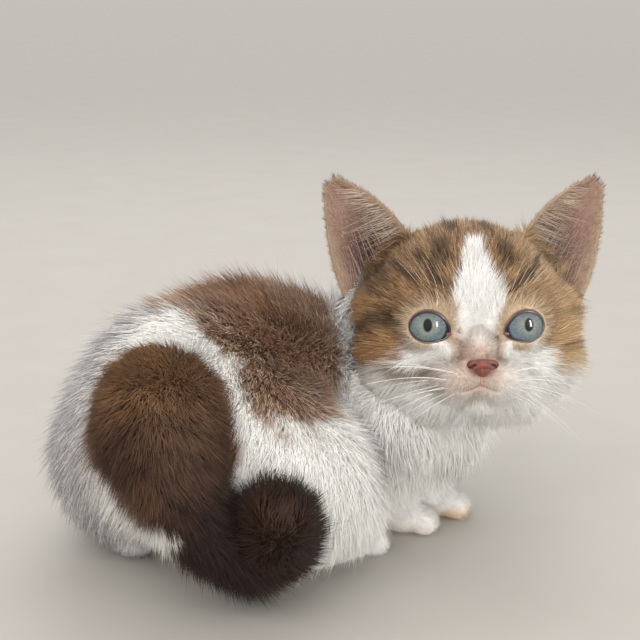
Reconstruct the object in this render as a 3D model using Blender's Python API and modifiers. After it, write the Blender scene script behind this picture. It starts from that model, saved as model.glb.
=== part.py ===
# A munchkin kitten about six weeks old, life size, crouched on short legs with
# its head turned back over its right shoulder and its tail curled on the floor.
# +Y runs from the rump to the chest, +X is the kitten's right, the floor is z = 0.
# Sizes are millimetres until they become mesh points, and the coat is included.

import math
import random

import bmesh
import bpy
from mathutils import Matrix, Vector
from mathutils.bvhtree import BVHTree

MM = 0.001
GAP = 0.3  # clearance kept between neighbouring pieces
FLOOR_CUT = 0.7  # how far soles and tail are rounded below the floor before they are cut flat

# Driving sizes of the trunk: where each station of the spine lies, and how thick it is there
SPINE = {
    "rump": ((-17.4, -26.4, 45.3), 35.6),
    "loin": ((-21.0, -4.0, 46.2), 34.4),
    "ribs": ((-19.0, 17.5, 43.0), 30.6),
    "shoulders": ((-12.0, 37.0, 38.0), 24.0),
    "neck": ((-6.0, 49.5, 46.0), 18.8),
    "nape": ((2.0, 57.5, 56.0), 16.8),
}
BREAST = ((6.0, 47.0, 32.5), 17.0)
BELLY = ((-17.0, 10.0, 28.0), 23.0)

# Each hind leg: thigh, knee, then heel and ball of the foot on the floor
HIND = {
    "right": {"thigh": ((10.6, -12.0, 27.5), 24.8), "knee": ((13.6, 4.5, 14.0), 12.0),
              "heel": (10.5, -21.5, 6.0), "ball": (14.0, 7.5, 5.0)},
    "left": {"thigh": ((-34.0, -33.0, 27.0), 26.4), "knee": ((-48.5, -27.5, 15.0), 14.6),
             "heel": (-26.0, -40.0, 6.0), "ball": (-47.5, -22.5, 5.0)},
}
# Each foreleg: shoulder, elbow and wrist, then the palm and the way the paw points, in degrees from +X
FORE = {
    "right": {"shoulder": ((9.0, 26.0, 35.0), 16.0), "elbow": ((7.0, 21.5, 21.0), 11.5),
              "wrist": ((8.0, 27.4, 11.0), 8.2), "palm": (10.6, 30.5, 5.0), "heading": 48.0},
    "left": {"shoulder": ((-8.0, 47.0, 35.0), 16.0), "elbow": ((1.0, 43.2, 22.0), 11.4),
             "wrist": ((6.3, 43.0, 11.0), 8.2), "palm": (8.9, 46.3, 5.0), "heading": 48.0},
}
PAW_RADII = (7.0, 5.3, 5.4)  # palm: along, across, up
TOE_RADII = (4.4, 2.3, 3.6)
TOE_SPREAD = (-28.0, -9.5, 9.5, 28.0)  # the four toes, in degrees about the paw's heading
TOE_REACH = 6.4

# The tail from its root to its tip, with the thickness of its bushy coat
TAIL = [
    ((-6.5, -38.0, 54.0), 14.0),
    ((4.5, -49.5, 52.0), 16.0),
    ((12.0, -53.0, 42.0), 16.2),
    ((14.5, -48.5, 30.0), 13.2),
    ((16.5, -40.5, 19.0), 13.4),
    ((20.5, -33.0, 14.0), 13.2),
    ((26.0, -30.5, 18.0), 12.6),
    ((30.5, -32.0, 24.5), 11.8),
]
TAIL_CUTS = (2.4, 4.6)  # where the tail is parted, counted in stations

# The head: its centre, and the way the face looks and tilts
HEAD = (20.6, 45.1, 64.5)
FACE_HEADING = -38.9  # degrees from +X
FACE_PITCH = 12.0
# In the head's own axes: to the kitten's left, up and ahead, from its centre
SKULL = [  # centre, radii
    ((0.0, 4.8, -1.9), (27.6, 24.4, 29.1)),
    ((18.2, 1.8, -1.6), (14.5, 14.2, 17.4)),
    ((-18.2, 1.8, -1.6), (14.5, 14.2, 17.4)),
    ((16.7, -9.1, 2.9), (18.1, 16.7, 18.6)),
    ((-16.7, -9.1, 2.9), (18.1, 16.7, 18.6)),
    ((8.6, -15.7, 6.2), (16.4, 14.0, 14.9)),
    ((-8.6, -15.7, 6.2), (16.4, 14.0, 14.9)),
]
MUZZLE = [
    ((5.7, -14.7, 24.0), (7.8, 6.5, 8.0)),
    ((-5.7, -14.7, 24.0), (7.8, 6.5, 8.0)),
    ((0.0, -6.2, 24.8), (6.1, 7.1, 6.7)),
    ((0.0, -20.5, 21.7), (6.3, 4.6, 6.3)),
]
EYE_SPREAD = 12.7
EYE_AHEAD = 16.8
EYE_RADIUS = 7.0
EYE_TURN = 8.0  # how far each eye looks outwards, in degrees
LID_THICK = 1.0
LID_WIDTH, LID_HEIGHT = 4.9, 4.1  # half the opening
LID_CORNER = 1.5  # how far the inner corner runs on towards the nose
NOSE = (0.2, -9.9, 31.0)
NOSE_RADII = (4.8, 2.4, 2.8)
NOSTRIL = (3.0, -9.9, 32.8)
NOSTRIL_RADII = (1.4, 0.7, 1.9)
MOUTH = [(0.0, -12.4), (0.0, -15.6), (2.2, -16.5), (4.4, -17.4), (6.3, -18.3)]  # left, up
MOUTH_GROOVE = 0.5
EAR_ROOT = (25.7, 15.7, -2.9)
EAR_TIP = (39.8, 41.5, -5.7)
EAR_ACROSS = (-18.1, 19.1, 4.8)  # from the outer edge to the inner one, at the root
EAR_CUP = 7.0
EAR_THICK = 1.4

# The coat: its core, as a share of each ball's radius, and the locks that reach from there to the tips
TRUNK_CORE = 0.87
TAIL_CORE = (0.98, 0.84, 0.6)  # at the tail's first stations; the last goes on to the tip
CHEEK_CORE = 0.93
TRUNK_LOCKS = {"spacing": 18.5, "length": 26.0, "width": 17.5, "thick": 3.0, "sunk": 1.4, "seed": 5}
TAIL_LOCKS = {"spacing": 8.8, "length": 16.0, "width": 10.0, "thick": 2.6, "sunk": 1.2, "seed": 9}
CHEEK_LOCKS = {"spacing": 8.5, "length": 10.5, "width": 7.5, "thick": 1.8, "sunk": 0.9, "seed": 2}
LOCK_SHAPE = [(0.0, 0.72, 1.0), (0.34, 1.0, 0.9), (0.7, 0.7, 0.55)]  # way along, width, thickness
LOCK_STRAY = 14.0  # how far a lock may turn from the lie, in degrees
SHORTEST = 0.15  # shortest edge that is left where locks cross
TOUCHING = 0.001  # vertices nearer than this are taken to touch
FALL = 0.55  # how much the coat falls downwards while it runs back

COLOURS = {  # base colour, roughness
    "white_coat": ((0.80, 0.77, 0.72), 0.85),
    "brown_coat": ((0.16, 0.075, 0.035), 0.85),
    "tabby_coat": ((0.34, 0.19, 0.10), 0.85),
    "dark_coat": ((0.06, 0.03, 0.018), 0.85),
    "nose_skin": ((0.50, 0.17, 0.12), 0.45),
    "ear_skin": ((0.62, 0.40, 0.32), 0.7),
    "eye": ((0.30, 0.42, 0.46), 0.08),
}


def clear_scene():
    for obj in list(bpy.data.objects):
        bpy.data.objects.remove(obj)


def new_collection(name):
    made = bpy.data.collections.new(name)
    bpy.context.scene.collection.children.link(made)
    return made


def new_material(name):
    colour, roughness = COLOURS[name]
    made = bpy.data.materials.new(name)
    made.use_nodes = True
    shader = made.node_tree.nodes["Principled BSDF"]
    shader.inputs["Base Color"].default_value = (*colour, 1.0)
    shader.inputs["Roughness"].default_value = roughness
    shader.inputs["Metallic"].default_value = 0.0
    return made


def object_from(bm, name, collection):
    """Ends a bmesh and puts it in the scene."""
    mesh = bpy.data.meshes.new(name)
    bmesh.ops.recalc_face_normals(bm, faces=bm.faces)
    bm.to_mesh(mesh)
    bm.free()
    obj = bpy.data.objects.new(name, mesh)
    collection.objects.link(obj)
    return obj


def evaluated_mesh(obj):
    graph = bpy.context.evaluated_depsgraph_get()
    return bpy.data.meshes.new_from_object(obj.evaluated_get(graph))


def apply_modifiers(obj):
    mesh = evaluated_mesh(obj)
    obj.modifiers.clear()
    obj.data = mesh


def largest_surface(obj):
    """Keeps the one closed surface of obj that holds most, and drops loose scraps."""
    bm = bmesh.new()
    bm.from_mesh(obj.data)
    unseen = set(bm.faces)
    found = []
    while unseen:
        front = [unseen.pop()]
        shell = []
        while front:
            face = front.pop()
            shell.append(face)
            for edge in face.edges:
                for other in edge.link_faces:
                    if other in unseen:
                        unseen.remove(other)
                        front.append(other)
        size = sum(f.calc_center_median().dot(f.normal) * f.calc_area() for f in shell)
        found.append((size, shell))
    found.sort(key=lambda entry: entry[0])
    for _, shell in found[:-1]:
        bmesh.ops.delete(bm, geom=shell, context="FACES")
    bm.to_mesh(obj.data)
    bm.free()


def boolean(obj, other, operation, remove=True):
    """obj becomes its union, difference or intersection with other.
    Where locks cross, edges are too short for the exact solver, which would leave the body open."""
    modifier = obj.modifiers.new("Boolean", "BOOLEAN")
    modifier.operation = operation
    modifier.solver = "MANIFOLD" if obj.get("has_locks") else "EXACT"
    modifier.object = other
    apply_modifiers(obj)
    if remove:
        bpy.data.objects.remove(other)
    largest_surface(obj)


def tidy_surface(obj):
    """Draws the ends of very short edges together, and parts places where obj just touches itself.
    The largest faces come first, from which a reader of the solid tells its inside most safely."""
    bm = bmesh.new()
    bm.from_mesh(obj.data)
    bmesh.ops.triangulate(bm, faces=bm.faces)
    found = True
    while found:
        found = False
        for edge in sorted(bm.edges, key=lambda e: e.calc_length()):
            if not edge.is_valid or edge.calc_length() > SHORTEST * MM:
                continue
            a, b = edge.verts
            shared = {e.other_vert(a) for e in a.link_edges} & {e.other_vert(b) for e in b.link_edges}
            if len(shared) == 2 and len(edge.link_faces) == 2:
                bmesh.ops.pointmerge(bm, verts=[a, b], merge_co=(a.co + b.co) / 2)
                found = True
                break
    moves = []
    for pair in bmesh.ops.find_doubles(bm, verts=bm.verts, dist=TOUCHING * MM)["targetmap"].items():
        for vertex, twin in (pair, pair[::-1]):
            around = [e.other_vert(twin).co for e in twin.link_edges]
            moves.append((vertex, vertex.co - sum(around, Vector()) / len(around)))
    for vertex, away in moves:
        vertex.co += away.normalized() * 0.1 * SHORTEST * MM
    bm.faces.sort(key=lambda face: -face.calc_area())
    bm.to_mesh(obj.data)
    bm.free()


def swollen(obj, by):
    """A copy of obj grown outwards by so many millimetres, as a cutter."""
    copy = bpy.data.objects.new(obj.name + "_grown", obj.data.copy())
    cutters.objects.link(copy)
    normals = [v.normal.copy() for v in copy.data.vertices]
    for vertex, normal in zip(copy.data.vertices, normals):
        vertex.co += normal * by * MM
    return copy


def add_ball(bm, centre, radii, turn=None, fine=3):
    """One ellipsoid; turn is a 3x3 matrix of its own axes."""
    place = Matrix.Translation(Vector(centre) * MM)
    if turn is not None:
        place = place @ turn.to_4x4()
    place = place @ Matrix.Diagonal((*(r * MM for r in radii), 1.0))
    bmesh.ops.create_icosphere(bm, subdivisions=fine, radius=1.0, matrix=place)


def add_chain(bm, stations, fine=3):
    """Balls close together from station to station, each a (centre, radius) pair."""
    for (a, ra), (b, rb) in zip(stations, stations[1:]):
        a, b = Vector(a), Vector(b)
        steps = max(2, math.ceil((b - a).length / (0.22 * min(ra, rb))))
        for i in range(steps + 1):
            t = i / steps
            r = ra + (rb - ra) * t
            add_ball(bm, a.lerp(b, t), (r, r, r), fine=fine)


def tree_of(obj):
    bm = bmesh.new()
    bm.from_mesh(obj.data)
    tree = BVHTree.FromBMesh(bm)
    bm.free()
    return tree


def even_roots(obj, spacing, draw):
    """Faces of obj spread evenly, none nearer to another than the spacing: their places and normals."""
    spots = [(face.center.copy(), face.normal.copy()) for face in obj.data.polygons]
    draw.shuffle(spots)
    chosen = []
    for spot in spots:
        if all((spot[0] - other[0]).length > spacing * MM for other in chosen):
            chosen.append(spot)
    return chosen


def outside(obj):
    """A test of whether a root lies outside obj."""
    tree = tree_of(obj)

    def test(root, normal):
        near, out = tree.find_nearest(root)[:2]
        return (root - near).dot(out) > 0.0

    return test


def lay_lock(root, normal, lie, outline, sizes, draw):
    """One flat tapered lock: rooted in the core, bent along the lie, its tip out on the outline."""
    length = sizes["length"] * draw.uniform(0.85, 1.15) * MM
    stray = Matrix.Rotation(math.radians(draw.uniform(-LOCK_STRAY, LOCK_STRAY)), 3, normal)
    depth = (outline.find_nearest(root)[0] - root).length + sizes["sunk"] * MM
    bm = bmesh.new()
    rings = []
    place, before = root, 0.0
    for along, wide, thick in LOCK_SHAPE + [(1.0, 0.0, 0.0)]:
        way = stray @ lie(place)
        skin, out = outline.find_nearest(place)[:2]
        way = (way - out * way.dot(out)).normalized()
        skin, out = outline.find_nearest(skin + way * length * (along - before))[:2]
        centre = skin - out * depth * (1.0 - along) ** 0.8
        if not wide:
            rings.append([bm.verts.new(skin)])
            break
        across = way.cross(out).normalized() * wide * sizes["width"] / 2 * MM
        rise = out * thick * sizes["thick"] / 2 * MM
        rings.append([bm.verts.new(centre + step) for step in (across, rise, -across, -rise)])
        place, before = skin, along
    bm.faces.new(rings[0])
    for ring, following in zip(rings, rings[1:]):
        for i in range(4):
            j = (i + 1) % 4
            if len(following) == 1:
                bm.faces.new((ring[i], ring[j], following[0]))
            else:
                bm.faces.new((ring[i], ring[j], following[j], following[i]))
    bmesh.ops.triangulate(bm, faces=bm.faces)
    return object_from(bm, "lock", locks)


def add_locks(core, outline, lie, sizes, wanted=None):
    """Covers core with overlapping locks out to the outline, and joins them all into one body."""
    draw = random.Random(sizes["seed"])
    tree = tree_of(outline)
    for root, normal in even_roots(core, sizes["spacing"], draw):
        if wanted is None or wanted(root, normal):
            lay_lock(root, normal, lie, tree, sizes, draw)
    join = core.modifiers.new("Locks", "BOOLEAN")
    join.operation = "UNION"
    join.solver = "MANIFOLD"
    join.operand_type = "COLLECTION"
    join.collection = locks
    apply_modifiers(core)
    for lock in list(locks.objects):
        bpy.data.objects.remove(lock)
    largest_surface(core)
    core["has_locks"] = True


def smooth_line(points, per_span):
    """Points on a smooth curve through the given ones (Catmull-Rom), thickness included."""
    values = [Vector((*p, r)) for p, r in points]
    values = [values[0] * 2 - values[1], *values, values[-1] * 2 - values[-2]]
    line = []
    for p0, p1, p2, p3 in zip(values, values[1:], values[2:], values[3:]):
        for i in range(per_span):
            t = i / per_span
            line.append(0.5 * (2 * p1 + (p2 - p0) * t + (2 * p0 - 5 * p1 + 4 * p2 - p3) * t * t
                               + (3 * p1 - p0 - 3 * p2 + p3) * t ** 3))
    line.append(values[-2])
    return [(v.xyz, v[3]) for v in line]


def fuse(bm, name, voxel, smoothing, triangles):
    """One closed, smooth surface round all the balls of bm, with about so many triangles."""
    obj = object_from(bm, name, model)
    remesh = obj.modifiers.new("Remesh", "REMESH")
    remesh.mode = "VOXEL"
    remesh.voxel_size = voxel * MM
    smooth = obj.modifiers.new("Smooth", "SMOOTH")
    smooth.factor = 0.5
    smooth.iterations = smoothing
    apply_modifiers(obj)
    largest_surface(obj)
    thin_out(obj, triangles)
    return obj


def thin_out(obj, triangles):
    """Brings obj down to about so many triangles."""
    now = sum(len(face.vertices) - 2 for face in obj.data.polygons)
    if now <= triangles:
        return
    decimate = obj.modifiers.new("Decimate", "DECIMATE")
    decimate.ratio = triangles / now
    decimate.use_collapse_triangulate = True
    apply_modifiers(obj)


def block(name, low, high, turn=None, centre=(0.0, 0.0, 0.0)):
    """A box as a cutter, between two corners in its own axes about a centre."""
    low, high = Vector(low), Vector(high)
    bm = bmesh.new()
    size = high - low
    place = Matrix.Translation(Vector(centre) * MM)
    if turn is not None:
        place = place @ turn.to_4x4()
    place = place @ Matrix.Translation((low + high) * 0.5 * MM) @ Matrix.Diagonal((*(size * MM), 1.0))
    bmesh.ops.create_cube(bm, size=1.0, matrix=place)
    return object_from(bm, name, cutters)


def oval(name, centre, radii, turn=None, grow=0.0, fine=2):
    """An ellipsoid as a cutter."""
    bm = bmesh.new()
    add_ball(bm, centre, [r + grow for r in radii], turn, fine)
    return object_from(bm, name, cutters)


def copy_of(obj, name):
    made = obj.copy()
    made.name = name
    made.data = obj.data.copy()
    model.objects.link(made)
    return made


def take_out(body, name, cutter_at):
    """Parts body: what lies inside the cutter becomes a node, and body loses it and the gap.
    cutter_at(grow) makes the cutter, grown by so much."""
    piece = copy_of(body, name)
    boolean(piece, cutter_at(0.0), "INTERSECT")
    boolean(body, cutter_at(GAP), "DIFFERENCE")
    return piece


def stand_on_floor(obj):
    """Cuts off what reaches below the floor, which leaves small flats at z = 0."""
    reach = 400.0
    boolean(obj, block("floor_block", (-reach, -reach, -50.0), (reach, reach, 0.0)), "DIFFERENCE")


def facing(heading, pitch=0.0):
    """Axes with the first along the heading (degrees from +X), the second across, the third up."""
    return Matrix.Rotation(math.radians(heading), 3, "Z") @ Matrix.Rotation(math.radians(-pitch), 3, "Y")


def head_axes():
    """Columns: the kitten's left, up and ahead, for the turned head."""
    turn = facing(FACE_HEADING, FACE_PITCH)
    ahead, across, up = (turn.col[i].copy() for i in range(3))
    return Matrix((across, up, ahead)).transposed()


def on_head(point):
    """A point in the head's own axes, in the kitten's."""
    return Vector(HEAD) + head_axes() @ Vector(point)


def trunk_lie(place):
    """The coat of the body runs from the neck to the rump and falls down its sides and legs."""
    spine = Vector(SPINE["rump"][0]) - Vector(SPINE["nape"][0])
    spine.z = 0.0
    return spine.normalized() - Vector((0.0, 0.0, FALL))


def not_below(root, normal):
    """Whether a place on the trunk isn't on its underside, where no long coat shows."""
    return normal.z > -0.7


def tail_lie(place):
    """The coat of the tail runs along it to its tip."""
    line = smooth_line(TAIL, 4)
    nearest = min(range(len(line) - 1), key=lambda i: (line[i][0] * MM - place).length)
    return (line[nearest + 1][0] - line[nearest][0]).normalized()


def cheek_lie(place):
    """The coat of the cheeks runs back and down from the nose."""
    from_nose = (place - on_head(NOSE) * MM).normalized()
    return from_nose - head_axes().col[1] * 0.5


def build_trunk(name, share, triangles):
    """Back, belly, neck, breast and the upper legs, as one smooth body, with its thickness times share."""
    bm = bmesh.new()
    chains = [
        list(SPINE.values()),
        [SPINE["shoulders"], BREAST, SPINE["neck"]],
        [SPINE["loin"], BELLY, SPINE["shoulders"]],
    ]
    for leg in HIND.values():
        chains.append([SPINE["rump"], leg["thigh"], leg["knee"], (leg["ball"], 5.6)])
        chains.append([leg["thigh"], (leg["heel"], 6.0)])
    for leg in FORE.values():
        chains.append([SPINE["shoulders"], leg["shoulder"], leg["elbow"], leg["wrist"], (leg["palm"], 6.0)])
    for chain in chains:
        add_chain(bm, [(centre, radius * share) for centre, radius in chain])
    return fuse(bm, name, voxel=1.6, smoothing=14, triangles=triangles)


def build_fore_paw(side):
    """Palm and four toes of a forepaw, with the wrist running up into the leg."""
    leg = FORE[side]
    turn = facing(leg["heading"])
    palm = Vector(leg["palm"])
    bm = bmesh.new()
    add_ball(bm, palm, PAW_RADII, turn)
    add_chain(bm, [(palm, 5.6), (leg["wrist"][0], 6.6)])
    add_toes(bm, palm, leg["heading"])
    paw = fuse(bm, "fore_paw_" + side, voxel=0.6, smoothing=5, triangles=370)
    stand_on_floor(paw)
    return paw


def add_toes(bm, palm, heading):
    """Four toes fanned about the heading, their tips a little lower than their knuckles."""
    for spread in TOE_SPREAD:
        inner = math.cos(math.radians(spread))
        turn = facing(heading + spread * 0.55, -12.0)
        way = facing(heading + spread).col[0]
        centre = palm + way * TOE_REACH * (0.86 + 0.2 * inner)
        centre.z = TOE_RADII[2] - FLOOR_CUT + 0.35
        add_ball(bm, centre, TOE_RADII, turn)


def build_hind_foot(side):
    """The long hind foot, flat on the floor from heel to toes."""
    leg = HIND[side]
    heel, ball = Vector(leg["heel"]), Vector(leg["ball"])
    way = ball - heel
    heading = math.degrees(math.atan2(way.y, way.x))
    bm = bmesh.new()
    add_chain(bm, [(heel + Vector((0.0, 0.0, 1.0)), 7.0), (ball + Vector((0.0, 0.0, 0.8)), 6.2)])
    add_ball(bm, ball, PAW_RADII, facing(heading))
    add_toes(bm, ball, heading)
    foot = fuse(bm, "hind_foot_" + side, voxel=0.6, smoothing=5, triangles=440)
    stand_on_floor(foot)
    return foot


def build_tail(name, shares, triangles):
    """The tail along its curve, from inside the rump to its tip, with its thickness times the shares."""
    stations = [(centre, radius * shares[min(i, len(shares) - 1)]) for i, (centre, radius) in enumerate(TAIL)]
    bm = bmesh.new()
    add_chain(bm, smooth_line(stations, 3))
    return fuse(bm, name, voxel=1.2, smoothing=8, triangles=triangles)


def head_form(name, cheek_share, triangles):
    """Skull, cheeks and muzzle, with the balls of the cheeks times their share."""
    axes = head_axes()
    bm = bmesh.new()
    for centre, radii in SKULL + MUZZLE:
        low_and_wide = abs(centre[0]) > 10.0 and centre[1] < 0.0
        share = cheek_share if low_and_wide else 1.0
        add_ball(bm, on_head(centre), [r * share for r in radii], axes, fine=4)
    for side in (-1, 1):
        eye = on_head((side * EYE_SPREAD, 0.0, EYE_AHEAD))
        add_ball(bm, eye, [EYE_RADIUS + GAP + LID_THICK] * 3, axes)
    return fuse(bm, name, voxel=0.75, smoothing=20, triangles=triangles)


def on_cheek(root, normal):
    """Whether a place on the head grows the cheeks' longer coat."""
    left, up, ahead = head_axes().transposed() @ (root / MM - Vector(HEAD))
    return abs(left) > 19.0 and -24.0 < up < 2.0 and -8.0 < ahead < 14.0


def build_head():
    """The head with its coat, its cheeks in locks, eye sockets, lids and the line of the mouth."""
    outline = head_form("head_outline", 1.0, 2600)
    blank = swollen(outline, 1.5 * GAP)
    thin_out(blank, 900)
    head = head_form("head", CHEEK_CORE, 2000)
    add_locks(head, outline, cheek_lie, CHEEK_LOCKS, on_cheek)
    bpy.data.objects.remove(outline)
    for side in (-1, 1):
        cut_eye(head, side)
    cut_mouth(head)
    return head, blank


def cut_eye(head, side):
    """The opening between the lids, and the hollow that the eyeball sits in."""
    axes = head_axes()
    eye = on_head((side * EYE_SPREAD, 0.0, EYE_AHEAD))
    turn = axes @ Matrix.Rotation(math.radians(EYE_TURN * side), 3, "Y")
    bm = bmesh.new()
    count = 24
    ring = []
    for i in range(count):
        angle = 2 * math.pi * i / count
        across, up = math.cos(angle), math.sin(angle)
        inner = max(0.0, -side * across * 0.9 - up * 0.42) ** 6
        reach = 1.0 + LID_CORNER / LID_WIDTH * inner
        ring.append((across * LID_WIDTH * reach, up * LID_HEIGHT * reach))
    near = [bm.verts.new() for _ in ring]
    far = [bm.verts.new() for _ in ring]
    for (across, up), a, b in zip(ring, near, far):
        a.co = (eye + turn @ Vector((across, up, 0.0))) * MM
        b.co = (eye + turn @ Vector((across * 1.25, up * 1.25, 16.0))) * MM
    bm.faces.new(near)
    bm.faces.new(far)
    for i in range(count):
        j = (i + 1) % count
        bm.faces.new((near[i], near[j], far[j], far[i]))
    boolean(head, object_from(bm, "lid_opening", cutters), "DIFFERENCE")
    boolean(head, oval("socket", eye, [EYE_RADIUS + GAP] * 3, fine=3), "DIFFERENCE")


def surface_point(tree, left, up):
    """Where a line running back from in front of the face meets it."""
    start = on_head((left, up, 60.0)) * MM
    ahead = head_axes().col[2]
    return tree.ray_cast(start, -ahead)[0]


def cut_mouth(head):
    """A fine groove down from the nose and out to both corners of the mouth."""
    tree = tree_of(head)
    groove = bmesh.new()
    for side in (-1, 1):
        line = [surface_point(tree, side * left, up) for left, up in MOUTH]
        stations = [(point / MM, MOUTH_GROOVE) for point in line]
        add_chain(groove, [(p, r) for p, r in smooth_line(stations, 2)], fine=1)
    tube = fuse(groove, "mouth_groove", voxel=0.25, smoothing=2, triangles=240)
    model.objects.unlink(tube)
    cutters.objects.link(tube)
    boolean(head, tube, "DIFFERENCE")


def build_nose(head):
    """The leather of the nose, let into the muzzle, with its two nostrils."""
    axes = head_axes()
    bm = bmesh.new()
    add_ball(bm, on_head(NOSE), NOSE_RADII, axes)
    wedge = (NOSE[0], NOSE[1] - 1.6, NOSE[2] - 0.3)
    add_ball(bm, on_head(wedge), (1.9, 2.1, 2.1), axes)
    nose = fuse(bm, "nose", voxel=0.4, smoothing=5, triangles=200)
    boolean(head, swollen(nose, GAP), "DIFFERENCE")
    for side in (-1, 1):
        left, up, ahead = NOSTRIL
        cutter = oval("nostril", on_head((side * left, up, ahead)), NOSTRIL_RADII, axes, fine=1)
        boolean(nose, cutter, "DIFFERENCE")
    return nose


def build_ear(side, head):
    """One cupped ear, from a grid that narrows to the tip, thickened and set on the skull."""
    across_steps, up_steps = 6, 8
    sunk = -0.15  # the shell starts this share of its height below the root
    flip = Vector((side, 1.0, 1.0))
    root, tip, across = (Vector(v) * flip for v in (EAR_ROOT, EAR_TIP, EAR_ACROSS))
    rise = tip - root
    back = rise.cross(across).normalized()
    if back.z > 0:
        back = -back
    bm = bmesh.new()
    bmesh.ops.create_grid(bm, x_segments=across_steps, y_segments=up_steps, size=1.0)
    for vertex in bm.verts:
        u = vertex.co.x
        w = sunk + (vertex.co.y + 1) / 2 * (0.985 - sunk)
        width = 0.5 * (1.0 - max(w, 0.0)) ** 0.68 * (1.0 + 0.12 * math.sin(math.pi * max(w, 0.0)))
        cup = EAR_CUP * (1.0 - max(w, 0.0)) ** 0.7 * (1.0 - u * u)
        vertex.co = on_head(root + rise * w + across * width * u + back * cup) * MM
    ear = object_from(bm, "ear_" + ("left" if side > 0 else "right"), model)
    shell = ear.modifiers.new("Solidify", "SOLIDIFY")
    shell.thickness = EAR_THICK * MM
    shell.offset = 0.0
    apply_modifiers(ear)
    boolean(ear, swollen(head, GAP), "DIFFERENCE")
    return ear


def build_eye(side):
    """The eyeball, a ball in its socket."""
    bm = bmesh.new()
    place = Matrix.Translation(on_head((side * EYE_SPREAD, 0.0, EYE_AHEAD)) * MM) @ head_axes().to_4x4()
    bmesh.ops.create_uvsphere(bm, u_segments=16, v_segments=10, radius=EYE_RADIUS * MM, matrix=place)
    return object_from(bm, "eye_" + ("left" if side > 0 else "right"), model)


def part_trunk(trunk):
    """Parts the trunk into legs, hips, torso, chest and neck, with thin curved or flat cuts."""
    nodes = []
    for side in HIND:
        thigh = Vector(HIND[side]["thigh"][0])
        out = 1 if side == "right" else -1
        centre = thigh + Vector((out * 7.0, 1.0 if side == "right" else -3.0, -9.0))
        nodes.append(take_out(trunk, "hind_leg_" + side,
                              lambda grow: oval("haunch_cut", centre, (25.0, 29.0, 35.0), None, grow)))
    for side in FORE:
        shoulder = Vector(FORE[side]["shoulder"][0])
        out = 1 if side == "right" else -1
        centre = shoulder + Vector((out * 5.0, 2.0, -17.0))
        nodes.append(take_out(trunk, "fore_leg_" + side,
                              lambda grow: oval("shoulder_cut", centre, (14.5, 18.0, 31.0), None, grow)))
    for name, at, normal in (
        ("hips", (-16.5, -13.0, 45.0), (0.08, -1.0, 0.0)),
        ("neck", (-5.0, 46.0, 44.0), (-0.1, 0.90, 0.42)),
        ("chest", (-9.0, 23.0, 41.0), (0.28, 0.96, 0.0)),
    ):
        turn = Vector(normal).to_track_quat("Z", "Y").to_matrix()
        nodes.append(take_out(trunk, name,
                              lambda grow: block("flat_cut", (-150, -150, -grow), (150, 150, 150), turn, at)))
    trunk.name = "torso"
    nodes.append(trunk)
    return nodes


def part_tail(tail):
    """Parts the tail into root, middle and tip, square to its curve."""
    line = smooth_line(TAIL, 10)
    parts = []
    for name, cut in zip(("tail_tip", "tail_middle"), reversed(TAIL_CUTS)):
        index = round(cut * 10)
        at, normal = line[index][0], (line[index + 1][0] - line[index - 1][0]).normalized()
        turn = normal.to_track_quat("Z", "Y").to_matrix()

        def behind(grow):
            return block("tail_cut", (-24.0, -24.0, -grow), (24.0, 24.0, 60.0), turn, at)

        parts.append(take_out(tail, name, behind))
    tail.name = "tail_root"
    parts.append(tail)
    return parts


def centre_on_floor(objects):
    """Moves everything sideways so that the origin is under the middle of the whole."""
    corners = [v.co for obj in objects for v in obj.data.vertices]
    middle = Vector((
        (min(c.x for c in corners) + max(c.x for c in corners)) / 2,
        (min(c.y for c in corners) + max(c.y for c in corners)) / 2,
        0.0,
    ))
    for obj in objects:
        obj.data.transform(Matrix.Translation(-middle))


def dress(obj, materials):
    """Gives a node its material and its shading."""
    name = obj.name
    wears = "white_coat"
    for start, slot in (("eye", "eye"), ("nose", "nose_skin"), ("ear", "ear_skin"), ("head", "tabby_coat"),
                        ("tail_root", "brown_coat"), ("tail", "dark_coat"), ("torso", "brown_coat")):
        if name.startswith(start):
            wears = slot
            break
    obj.data.materials.clear()
    obj.data.materials.append(materials[wears])
    obj.data.shade_smooth()


clear_scene()
model = new_collection("munchkin_kitten")
cutters = new_collection("cutters")
cutters.hide_render = True
locks = new_collection("locks")

trunk_outline = build_trunk("trunk_outline", 1.0, 2400)
trunk = build_trunk("trunk", TRUNK_CORE, 1200)
add_locks(trunk, trunk_outline, trunk_lie, TRUNK_LOCKS, not_below)
stand_on_floor(trunk)
paws = [build_hind_foot(side) for side in HIND] + [build_fore_paw(side) for side in FORE]
head, head_blank = build_head()
nose = build_nose(head)
tail_outline = build_tail("tail_outline", (1.0,), 900)
tail = build_tail("tail", TAIL_CORE, 500)
add_locks(tail, tail_outline, tail_lie, TAIL_LOCKS, outside(trunk_outline))
stand_on_floor(tail)
boolean(trunk, head_blank, "DIFFERENCE")
boolean(trunk, swollen(tail_outline, 2 * GAP), "DIFFERENCE")
for piece in paws:
    for body in (trunk, tail):
        room = swollen(piece, 1.5 * GAP)
        thin_out(room, 200)
        boolean(body, room, "DIFFERENCE")
for outline in (trunk_outline, tail_outline):
    bpy.data.objects.remove(outline)
ears = [build_ear(side, head) for side in (1, -1)]
for ear in ears:
    boolean(ear, swollen(trunk, GAP), "DIFFERENCE")
eyes = [build_eye(side) for side in (1, -1)]
nodes = paws + [head, nose] + ears + eyes + part_trunk(trunk) + part_tail(tail)
centre_on_floor(nodes)
shades = {name: new_material(name) for name in COLOURS}
for node in nodes:
    if node.get("has_locks"):
        tidy_surface(node)
    dress(node, shades)
for cutter in list(cutters.objects):
    bpy.data.objects.remove(cutter)
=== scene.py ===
# A young munchkin cat, life size: crouched on short legs, its head turned back over
# the right shoulder and its bushy tail curled beside it. Lengths are millimetres in
# the cat's own frame: y runs to the chest, x to the cat's right, the floor is z = 0.

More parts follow.
